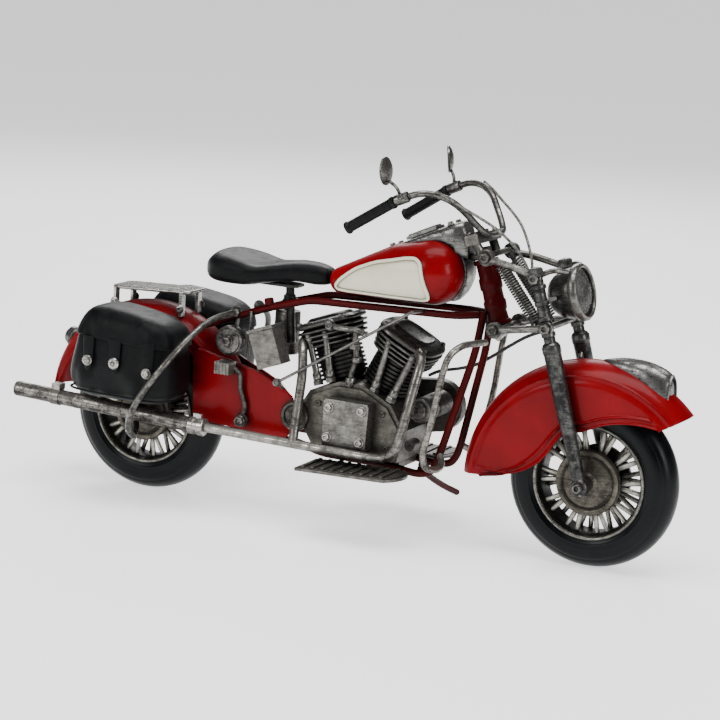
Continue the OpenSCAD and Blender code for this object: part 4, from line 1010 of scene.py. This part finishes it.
theta, phi = np.meshgrid(np.radians(np.linspace(0, 180, 181)), np.radians(np.linspace(0, 360, 288, endpoint=False)),
                         indexing="ij")
tank_points = tank_skin(np.stack([np.cos(theta), np.sin(theta) * np.cos(phi), np.sin(theta) * np.sin(phi)], axis=-1))
tank_points[..., 2] = np.maximum(tank_points[..., 2], 124.4)
make("fuel_tank_shell", [grid_shape(tank_points, wrap_v=True)], red_enamel, "frame", ["fuel_tank"],
     sharp=50)

# ---- tank inserts ----
# A cream enamel panel on each side of the tank, inside a raised and rounded bead of
# the same enamel. Painted shade darkens the foot of the bead, standing also for grime settled there.


def cream_enamel():
    """Cream enamel: yellower by slow noise, with grey-green painted shade in the corners, standing also for grime
    there, and a few dark specks.
    """
    f = Finish("cream_enamel")
    slow = f.noise(40, 3, 0.6).within(0.35, 0.7)
    # Painted shade: ambient occlusion darkens the corners, standing also for grime there.
    corner = (f.cavity(0.0035) * 3.6).within(0.35, 1.0)
    specks = f.noise(260, 4, 0.7).within(0.70, 0.78)
    base = f.blend(slow, (0.80, 0.775, 0.62, 1), (0.70, 0.665, 0.49, 1))
    stained_and_shaded = f.blend(corner * 0.85, base, (0.10, 0.092, 0.05, 1))
    colour = f.blend(specks * 0.5, stained_and_shaded, (0.10, 0.08, 0.05, 1))
    return f.surface_is(Base_Color=colour, Roughness=0.33 + corner * 0.2,
                        Normal=f.bump(f.noise(90, 4), 0.0003, 0.25), Coat_Weight=0.2,
                        Coat_Roughness=0.2)


cream = cream_enamel()
panel_line = bent([(140, 127.0), (166, 127.4), (169.9, 128.4), (170.4, 131.8), (168.2, 139.5), (165.9, 147.6),
                   (162.4, 149.6), (157, 149),
                   (138, 144.3), (126, 139.3), (117, 132.6), (113.9, 128.6), (115.2, 126.9), (120, 126.5),
                   (140, 127.0)], 3.4, 8)
flat_line = np.stack([panel_line[:, 0], 0 * panel_line[:, 0], panel_line[:, 1]], 1)
run = np.concatenate([[0], np.cumsum(np.linalg.norm(np.diff(flat_line, axis=0), axis=1))])
even = np.linspace(0, run[-1], 240, endpoint=False)
edge = np.stack([np.interp(even, run, flat_line[:, 0]), np.interp(even, run, flat_line[:, 2])], 1)
middle = np.array([149.0, 136.6])
t = np.concatenate([np.linspace(0, 0.9, 26), np.linspace(0.92, 1.0, 5)])[:, None, None]
inside = middle + (edge - middle) * 0.955 * t
panel = np.stack([inside[..., 0], tank_edge(1, inside) + 0.12, inside[..., 1]], axis=-1)
bead_line = middle + (edge - middle) * 0.978
bead = np.stack([bead_line[:, 0], tank_edge(1, bead_line) + 0.3, bead_line[:, 1]], 1)
insert = [grid_shape(panel, wrap_v=True), tube(bead, 0.95, across=(0, 1, 0), sides=16, close=True)]
make("tank_side_inserts", both_sides(insert), cream, "frame", ["tank_inserts"], sharp=80)

# ---- tank console ----
# A silver cover along the top of the tank that rises to the front, with a loose
# plate and four small bolts on it, and a strip that runs on down the tank's nose.

station = np.array([(133.6, 145.6, 0.2), (134.4, 147.6, 3.6), (137, 149.6, 6.4), (142, 152.0, 8.2),
                    (148, 154.6, 9.0), (156, 158.4, 9.4),
                    (164, 162.2, 9.4), (171, 165.4, 9.2), (177, 168.0, 8.8), (180.2, 168.6, 8.0),
                    (182.4, 166.6, 7.0), (184.2, 161.4, 6.0),
                    (185.0, 155.0, 5.4), (185.2, 150.0, 0.2)])
count = np.linspace(0, len(station) - 1, 110)
index = np.arange(len(station))
sx, st, sw = (curve_through(count, np.stack([index, station[:, k]], 1)) for k in range(3))
floor_z = np.where(sx < 178, tank_edge(2, np.stack([np.minimum(sx, 178), 0 * sx], 1)) - 2.6, 149.0)
angle = np.linspace(0, 2 * np.pi, 64, endpoint=False)[None]
cy = np.sign(np.cos(angle)) * np.abs(np.cos(angle)) ** 0.55
cz = np.sign(np.sin(angle)) * np.abs(np.sin(angle)) ** 0.5
mid_z, half_z = ((st + floor_z) / 2)[:, None], ((st - floor_z) / 2)[:, None]
lean_in = 1 - 0.10 * np.clip(cz, 0, 1)
console = [grid_shape(np.stack([sx[:, None] + 0 * angle, sw[:, None] * cy * lean_in, mid_z + half_z * cz], axis=-1),
                      wrap_v=True)]
console.append(moved(slab([(-9, -5.4), (9, -5.4), (9, 5.4), (-9, 5.4)], -0.7, 0.9), (158, 0, 160.3), -25))
console.append(moved(slab([(-8.2, -3.6), (8.2, -3.6), (8.2, 3.6), (-8.2, 3.6)], 0.6, 1.7), (158, 0, 160.3), -25))
for bx, bz in ((142.6, 151.6), (174.2, 166.4)):
    for by in (-5.2, 5.2):
        console += nut((bx, by, bz), (-0.42, 0, 0.9), 3.2, 1.9, 1.2)
band_turn = np.radians(np.linspace(62, -52, 46))[:, None]
band_side = np.radians(np.linspace(-90, 90, 17))[None]
strip_n = np.stack([np.cos(band_turn) + 0 * band_side, 0 * band_turn + 0 * band_side,
                    np.sin(band_turn) + 0 * band_side], axis=-1)
strip = tank_skin(strip_n)
strip[..., 1] = 6.2 * np.sin(band_side) + 0 * band_turn
strip = strip + strip_n * (0.2 + 1.0 * np.cos(band_side)[..., None] ** 0.5)
console.append(grid_shape(strip))
console_metal = aged_metal("console_metal", (0.007, 0.007, 0.007), (0.27, 0.265, 0.25), patchy=0.5, rough=0.30,
                           shade_and_patina=1.7)
make("tank_console_cover", console, console_metal, "frame", ["tank_console"], bevel=0.2, sharp=38)

# ---- shift rod ----
# A thin rod from a pivot on the right skirt up to the front of the right rail, with
# a nut on its lower end.

rod = [tube([(91, -28.2, 76), (165.5, -27, 123)], 0.8), tube([(91, -28, 76), (89, -17.2, 71)], 0.9),
       tube([(165, -27.4, 122.6), (165, -13, 121.4)], 0.9),
       turned([(0.9, 0), (2.2, 0), (2.2, 1.6), (0.9, 1.6)], (91, -27.2, 76), (0, -1, 0), 24, ring=True)]
make("shift_rod_and_pivots", rod + nut((91, -28.4, 76), (0, -1, 0), 4.2, 1.6, 1.1), silver, "frame",
     ["shift_rod"], bevel=0.1)

# ---- footboards ----
# Flat cast boards, rounded at the front, with eight raised ribs across them, carried
# on two short arms from the lower rails.

turn_a = np.radians(np.linspace(-52, 52, 17))
board_line = np.concatenate([[(-28, 13.2), (-28.4, 12.4), (-28.4, -12.4), (-28, -13.2)],
                             np.stack([12 + 17 * np.cos(turn_a), 17 * np.sin(turn_a)], 1)])
board = [slab(board_line, -0.8, 0.7), slab(board_line * 0.93, 0.5, 1.1)]
for k in range(9):
    board.append(slab([(-25.4 + k * 5.6, -11), (-23.6 + k * 5.6, -11), (-23.6 + k * 5.6, 11), (-25.4 + k * 5.6, 11)],
                      0.9, 1.9))
board = [moved(part, (141, 33.5, 37), -1.5) for part in board]
board += [tube([(125, 14.6, 36.2), (125, 30, 35.2)], 1.2, across=(1, 0, 0)),
          tube([(151, 14.6, 35.8), (151, 30, 35.4)], 1.2, across=(1, 0, 0))]
make("footboard_pair", both_sides(board), tin, "frame", ["footboards"], bevel=0.25, sharp=32)

# ---- crash bars ----
# One bent silver loop on each side, from the top of the down tube out and back in to
# the lower rail.

crash = bent([(199, 8, 109), (195, 29, 110), (191, 36.5, 105.5), (188.7, 38.5, 95), (185.7, 40, 72), (181.4, 40, 53),
              (182, 37.6, 45.6),
              (185.4, 30, 43.6), (184.4, 20, 44.4), (180.6, 14.5, 48)], 9)
make("crash_bar_pair", both_sides([tube(crash, 1.75, across=(1, 0, 0))]), pipe_metal, "frame",
     ["crash_bars"])

# ---- kick lever ----
# A bent lever with an eye that turns on the stud of the right skirt, and a ribbed
# block for the foot at its top.

lever = [turned([(1.62, -0.1), (3.1, 0), (3.4, 0.3), (3.4, 2.4), (3.1, 2.7), (1.62, 2.8)], (67, -18.3, 50.7),
                (0, -1, 0), 40, ring=True),
         tube(bent([(67.3, -19.6, 53.2), (68.6, -19.6, 58.3), (65.2, -20, 67), (65.4, -20.6, 75.4),
                    (61.6, -22.6, 79.4), (59, -23, 79.6)], 3), 1.25)]
lever.append(moved(slab([(-4.5, -4), (4.5, -4), (4.5, 4), (-4.5, 4)], -3.0, 3.0), (58, -25, 79)))
for k in range(5):
    lever.append(moved(slab([(-4.1 + k * 1.9, -4.3), (-3.3 + k * 1.9, -4.3), (-3.3 + k * 1.9, 4.3),
                             (-4.1 + k * 1.9, 4.3)], -3.3, 3.3), (58, -25, 79)))
make("kick_lever_forged", lever, tin, "kick", ["kick_lever"], bevel=0.2)

# ---- side stand ----
# A dark red leg that turns on its tilted pin on the left lower rail, with a bent
# foot.

along = lambda p: moved((np.asarray(p, float).reshape(-1, 3), []), stand_at, 0, -26)[0]
eye_ring = turned([(1.06, -3.8), (2.8, -3.8), (3, -3.5), (3, -1.3), (2.8, -1.0), (1.06, -1.0)], stand_at, pin, 32,
                  ring=True)
leg = tube(along(bent([(0, 1.6, -2.4), (0.4, 17, -2.8), (1.8, 32, -2.8), (4, 45, -2.2)], 6)), 1.7, across=pin)
make("side_stand_leg", [eye_ring, leg], dark_red, "stand", ["side_stand"], sharp=45)

# ---- fork yokes ----
# Two cast clamps on the steering stem. A round nut closes the stem, and the top one
# carries the block that grips the handlebar.


def in_head(points):
    """Steering-frame points, with Z up the steering axis, leaned back by the rake and put at the head."""
    p = np.asarray(points, float)
    c, s = np.cos(rake), np.sin(rake)
    return np.stack([head[0] + p[..., 0] * c - p[..., 2] * s, p[..., 1], head[2] + p[..., 0] * s + p[..., 2] * c],
                    axis=-1)


def steered(shape):
    return in_head(shape[0]), shape[1]


up, out = (0, 0, 1), (0, 1, 0)
yoke = [turned([(0, -22), (2.9, -22), (2.9, 22), (0, 22)], (0, 0, 0), up, 40),
        turned([(0, 17.4), (7.0, 17.4), (7.5, 17.9), (7.5, 19.9), (7.0, 20.5), (0, 20.5)], (0, 0, 0), up, 48),
        turned([(0, -20.5), (7.0, -20.5), (7.5, -20), (7.5, -17.9), (7.0, -17.4), (0, -17.4)], (0, 0, 0), up, 48),
        turned([(0, 20.4), (4.5, 20.4), (4.5, 22.8), (3.8, 23.4), (0, 23.4)], (0, 0, 0), up, 6)]
yoke += both_sides([tube([(2, 4, 18.9), (8, 15.4, 18.9)], 1.6, across=up),
                    tube([(2, 4, -18.9), (4, 15.4, -18.9)], 1.6, across=up),
                    tube([(3, 9, 18.9), (1, 11.4, 27)], 2.4, across=out)])
yoke += both_sides(nut((8, 17.8, 18.4), out, 5.6, 3.0, 1.5) + nut((4, 17.8, -18.4), out, 5.6, 3.0, 1.5))
yoke += [moved(slab([(-3.7, -15), (3.7, -15), (3.7, 15), (-3.7, 15)], -2.5, 2.5), (1, 0, 28.2))]
for x_at, y_at in ((-1.2, -11), (3.4, -11), (-1.2, 11), (3.4, 11), (1, -3), (1, 3)):
    yoke += nut((x_at, y_at, 30.5), up, 2.8, 1.6, 1.1)
make("steering_yokes_cast", [steered(s) for s in yoke], tin, "fork", ["steering_yokes"], bevel=0.3)

# ---- fork legs ----
# Straight tubes with a step: a thin upper rod with collars, an acorn nut on top, and
# a thick lower tube with a bevelled mouth, closed round the front axle.

leg_x, leg_y, low_z = 34, 20.5, -103.4
leg_profile = [(0, low_z), (3.2, low_z), (3.3, low_z + 1), (4.5, -35), (4.8, -34.4), (4.8, -31.4), (4.0, -29.9),
               (3.0, -29.2), (3.0, -26.4), (3.6, -26.2),
               (3.7, -24.4), (3.1, -24), (3.1, -18.6), (3.9, -18), (3.9, -16.4), (3.2, -15.8), (3.2, -10.6),
               (3.8, -10.2), (3.8, -8.4), (3.1, -8),
               (3.1, -2.4), (3.8, -2), (3.8, 0), (3.0, 0.4), (3.0, 4.6), (0, 4.6)]
legs = [turned(leg_profile, (leg_x, leg_y, 0), up, 40),
        turned([(0, 4.4), (4.2, 4.4), (4.2, 8), (3.2, 8.8), (0, 9.4)], (leg_x, leg_y, 0), up, 6),
        turned([(0, -3.9), (3.8, -3.9), (4.5, -3.2), (4.5, 2.6), (3.8, 3.3), (0, 3.5)], (leg_x, leg_y, low_z), out,
               40)]
leg_metal = aged_metal("leg_metal", (0.0055, 0.0055, 0.0055), (0.102, 0.102, 0.097), patchy=0.85, rough=0.34,
                       shade_and_patina=1.3)
make("fork_leg_pair", both_sides([steered(s) for s in legs]), leg_metal, "fork", ["fork_legs"],
     bevel=0.12)

# ---- fork links ----
# Bent arms with an eye and a washer at each end, which join the yokes to the legs,
# two cross ties, and the arms that hold the headlamp.

links = [tube(bent([(8, 16.6, 17.6), (18, 19, 13.4), (leg_x - 2, leg_y + 0.4, 5.4)], 8), 1.9, across=out),
         tube([(4, 16.6, -18.6), (leg_x - 1, leg_y - 0.4, -22)], 1.9, across=out),
         tube([(leg_x, leg_y, -22), (leg_x, 0, -22)], 1.7, across=up),
         tube(bent([(leg_x - 1, leg_y - 1, 4), (leg_x + 8, 17, 6), (leg_x + 13, 11, 3)], 6), 1.4, across=up),
         tube([(leg_x - 2, leg_y, -9), (leg_x + 4.4, 12, -8.6)], 1.3, across=up),
         tube([(leg_x, leg_y - 1, -38), (leg_x, 14.8, -43)], 1.5, across=up)]
links += nut((leg_x, leg_y + 1.6, -22), out, 5.6, 3.4, 1.35) + nut((leg_x - 0.6, leg_y + 1.4, 3.4), out, 5.4, 3.0,
                                                                   1.35)
links += [turned([(0, 0), (4.1, 0), (4.3, 0.4), (4.3, 2.4), (4.1, 2.8), (0, 2.8)], (8, 15.4, 18.2), out, 32),
          turned([(0, 0), (4.1, 0), (4.3, 0.4), (4.3, 2.4), (4.1, 2.8), (0, 2.8)], (4, 15.4, -18.5), out, 32)]
make("fork_link_arms", both_sides([steered(s) for s in links]), silver, "fork", ["fork_links"],
     bevel=0.12)

# ---- fork springs ----
# Two close-wound coil springs of dark wire, each round a thin rod, from the top yoke
# down and forwards to the lower tie.

def coil(start, end, radius, wire, turns, sides=8):
    """A wire wound round a line: p = start + (end - start) s + radius (u cos a + v sin a), with a = 2 pi turns s."""
    s = np.linspace(0, 1, turns * 18 + 1)
    a = 2 * np.pi * turns * s
    local = np.stack([radius * np.cos(a), radius * np.sin(a), s * np.linalg.norm(np.subtract(end, start))], 1)
    path = aimed(local, start, np.subtract(end, start), (0.1, 1, 0))
    along = np.subtract(end, start)
    return tube(path, wire, across=along, sides=sides)


spring = [coil((11.5, 9.6, 13.4), (24.5, 9.6, -19), 2.75, 0.62, 25),
          tube([(9.8, 9.6, 17), (11.2, 9.6, 13.6), (24.5, 9.6, -19), (25, 9.6, -21.6)], 1.35, across=out)]
make("fork_coil_springs", both_sides([steered(s) for s in spring]), dark_metal, "fork",
     ["fork_springs"])

# ---- handlebar ----
# One bright tube, bent up and back from the clamp on the top yoke to the grips.

half_bar = np.array([(197.4, 6, 163.6), (196.6, 11, 164.6), (193.5, 15.5, 168.6), (189.4, 19, 174),
                     (184, 24.4, 180.4), (177, 28.8, 184),
                     (168.6, 31.8, 184.8), (157, 33.4, 180.4), (131, 35.4, 163.4)])
bar = bent(np.concatenate([half_bar[::-1] * (1, -1, 1), half_bar]), 30, 10)
make("handlebar_tube", [tube(bar, 1.75, across=(1, 0.1, -0.3))], silver, "fork", ["handlebar"])

# ---- grips ----
# Ribbed black rubber sleeves with a collar at the inner end and a flared outer end.


def grip_rubber():
    """Matt black rubber with fine pits and paler rubbed spots."""
    f = Finish("grip_rubber")
    rubbed = f.noise(260, 4, 0.7).within(0.5, 0.75)
    colour = f.blend(rubbed * 0.7, (0.0016, 0.0016, 0.0018, 1), (0.010, 0.010, 0.010, 1))
    return f.surface_is(Base_Color=colour, Roughness=0.5 + rubbed * 0.15,
                        Normal=f.bump(f.noise(1800, 2), 0.0002, 0.5), Specular_IOR_Level=0.2)


grip_start, grip_end = np.array((154.8, 33.6, 178.9)), np.array((129.7, 35.55, 162.5))
grip_length = float(np.linalg.norm(grip_end - grip_start))
ribs = fin_steps(2.8, grip_length - 3.2, 1.25, 0.62, 2.55, 2.85)
grip_profile = np.concatenate([[(0, 0), (2.9, 0), (3.2, 0.4), (3.2, 1.9), (2.6, 2.4)], ribs,
                               [(2.6, grip_length - 2.6), (3.2, grip_length - 2.0), (3.4, grip_length - 1.0),
                                (3.1, grip_length - 0.2), (0, grip_length)]])
make("grip_pair", both_sides([turned(grip_profile, grip_start, grip_end - grip_start, 40)]), grip_rubber(), "fork",
     ["grips"], sharp=45)

# ---- mirrors ----
# Small round mirrors with a domed back, on bent stems from a clamp beside each grip.


def mirror_shapes(turn):
    """Clamp, bent stem and head for the left side. The head's axis lies near x, turned about z."""
    w = np.radians(turn)
    aim = np.array([np.cos(w) * np.sin(np.radians(84)), np.sin(w) * np.sin(np.radians(84)), np.cos(np.radians(84))])
    stem_run = bent([(158, 33.3, 180.6), (156.8, 35.6, 186.4), (152.4, 38.8, 190.2)], 4)
    head_profile_m = [(0, -0.7), (6.0, -0.7), (6.3, -0.25), (6.6, -0.7), (7.2, -0.4), (7.2, 0.5), (6.6, 1.0),
                      (5.0, 1.9), (2.8, 2.6), (0, 2.8)]
    clamp_along = np.array((154.8, 33.6, 179.1)) - (162, 32.8, 182.4)
    clamp_ring = turned([(2.0, 0), (2.7, 0.2), (2.9, 1), (2.9, 6.6), (2.7, 7.6), (2.0, 7.9)], (162, 32.8, 182.4),
                        clamp_along, 32, ring=True)
    return [tube(stem_run, 0.85, across=(0.3, 0, 0.1)), clamp_ring,
            turned(head_profile_m, (151.4, 39.4, 194.6), aim, 48)] + \
        nut((158.4, 34.9, 181.6), (0.1, 1, 0.3), 3.0, 1.8, 1.2)


make("mirror_pair", mirror_shapes(24) + other_side(mirror_shapes(-2)), silver, "fork", ["mirrors"],
     bevel=0.1)

# ---- cables ----
# Thin grey lines that hang along the handlebar to the fork, and one black brake line
# from the engine.


def cable_sleeve(name, dark, pale):
    """A wound sleeve: fine bands of noise in two greys."""
    f = Finish(name)
    tone_mix = f.noise(700, 3, 0.6).within(0.4, 0.7)
    return f.surface_is(Base_Color=f.blend(tone_mix, dark + (1,), pale + (1,)), Roughness=0.42 + tone_mix * 0.1,
                        Metallic=0.35)


bar_line = bent([(176, 30.8, 186.0), (183, 27.8, 182.4), (188.5, 25, 178.6), (197, 20.2, 173.6),
                 (205.4, 14.8, 167.6), (212.4, 8.2, 158.8),
                 (216.6, 4, 150.4), (217.4, 1.6, 146)], 30, 8)
make("bar_cable_pair", both_sides([tube(bar_line, 0.75, across=(1, 0.2, 0.9), sides=10)]),
     cable_sleeve("grey_cable", (0.05, 0.05, 0.045), (0.28, 0.27, 0.24)),
     "fork", ["bar_cables"])
brake_line = bent([(161.6, 8, 84), (168, 8, 87.6), (178, 9, 89.6), (187, 11, 92.6), (196, 12.5, 98.8),
                   (205, 13.5, 105.6), (213, 14, 111),
                   (221, 14.4, 114.4)], 30, 8)
brake = make("brake_line", [tube(brake_line, 0.9, across=(0, 1, 0.2), sides=10)],
             cable_sleeve("black_cable", (0.006, 0.006, 0.006), (0.03, 0.03, 0.03)),
             None, ["brake_cable"])
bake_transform(brake)

# ---- headlamp ----
# A deep silver bowl with a rolled rim, a dull reflector inside and a cloudy lens.

lamp_at = np.array([246.4, 0, 140])
beam = (np.sin(np.radians(76)), 0, np.cos(np.radians(76)))
bowl_profile = [(0, -18.2), (2.6, -18.1), (5.2, -17.3), (8.0, -15.8), (10.2, -13.4), (11.8, -10.4), (12.9, -6.6),
                (13.4, -2.8), (13.4, -2.2),
                (12.3, -2.2), (12.0, -3.2), (10.6, -6.2), (8.4, -8.8), (5.2, -10.6), (2.0, -11.4), (0, -11.5)]
make("headlamp_bowl_spun", [turned(bowl_profile, lamp_at, beam, 96), turned([(0, 0), (1.6, 0), (1.9, 1.4), (1.3,
        2.8), (0, 3.1)], lamp_at - 11.5 * np.array(beam), beam, 24)],
     aged_metal("lamp_metal", (0.0044, 0.0044, 0.0039), (0.11, 0.107, 0.098), patchy=0.7, rough=0.3, shade_and_patina=1.9),
     "fork", ["headlamp_bowl"], sharp=45)
rim_line = [(12.2, -2.8), (13.6, -3.0), (14.4, -2.4), (14.75, -0.9), (14.6, 0.7), (13.9, 1.7), (13.0, 2.0),
            (12.3, 1.5), (12.0, 0.4)]
make("headlamp_rim_rolled", [turned(rim_line, lamp_at, beam, 96, ring=True)], silver, "fork",
     ["headlamp_rim"], sharp=60)


def cloudy_glass():
    """Old lens glass: mostly clear by its alpha, with grey cloud and dust by noise, thicker towards the rim."""
    f = Finish("cloudy_glass")
    cloud = f.noise(140, 4, 0.6).within(0.35, 0.75)
    colour = f.blend(cloud, (0.10, 0.10, 0.095, 1), (0.30, 0.29, 0.27, 1))
    return f.surface_is(Base_Color=colour, Roughness=0.10 + cloud * 0.22, Alpha=0.14 + cloud * 0.22,
                        Specular_IOR_Level=0.45)


lens = [(0, -0.5), (11.9, -1.6), (12.0, -0.4), (10, 0.9), (7, 2.0), (3.6, 2.8), (0, 3.1)]
make("headlamp_lens_glass", [turned(lens, lamp_at, beam, 96)], cloudy_glass(), "fork",
     ["headlamp_lens"], sharp=50)

# ---- fender lamp ----
# A plain silver lamp cowl on the crown of the front fender, low and narrow behind,
# with a soft keel along its top and a flat round face in front.

u = np.linspace(0, 1, 70)[:, None]
cx = 260.4 + 36.6 * u
crown_z = 38.3 + np.sqrt(68.5 ** 2 - (cx - 258.4) ** 2)
top_z = curve_through(cx, [(260.4, 107.2), (268, 108.9), (276, 109.5), (284, 108.8), (291, 106.8), (295.4, 104.6),
                           (297, 103.4)])
wide = curve_through(cx, [(260.4, 0.6), (264, 3.0), (270, 5.0), (278, 6.6), (286, 7.6), (292, 8.0), (295.6, 7.8),
                          (297, 7.2)])
v = np.linspace(0, 2 * np.pi, 72, endpoint=False)[None]
low_z = crown_z - 3.4 - 4.2 * np.clip((cx - 286) / 11, 0, 1)
keel = 1 + 0.07 * np.exp(-((np.degrees(v) - 90) / 9) ** 2)
y = wide * np.sign(np.cos(v)) * np.abs(np.cos(v)) ** 0.85
z = np.where(np.sin(v) > 0, low_z + (top_z - low_z) * np.abs(np.sin(v)) ** 0.8 * keel, low_z + 1.2 * np.sin(v))
cowl = np.stack([cx + 0 * v, y, z], axis=-1)
shade = cowl[-1:]
centre = np.array([297.2, 0, 96.6])
face = np.concatenate([shade + (0.6, 0, 0), centre + (shade - centre) * 0.93 + (0.9, 0, 0),
                       centre + (shade - centre) * 0.86 + (0.4, 0, 0),
                       centre + (shade - centre) * 0.80 + (-0.6, 0, 0),
                       centre + (shade - centre) * 0.5 + (0.2, 0, 0), centre + (shade - centre) * 0.0 + (0.7, 0, 0)])
start_point = cowl[:1] * 0 + cowl[:1].mean(axis=1, keepdims=True)
cowl_metal = aged_metal("cowl_metal", (0.006, 0.006, 0.006), (0.24, 0.235, 0.225), patchy=0.6, rough=0.31, shade_and_patina=1.5)
make("fender_lamp_cowl", [grid_shape(np.concatenate([start_point, cowl, face]), wrap_v=True)], cowl_metal, "fork",
     ["fender_lamp"], sharp=40)
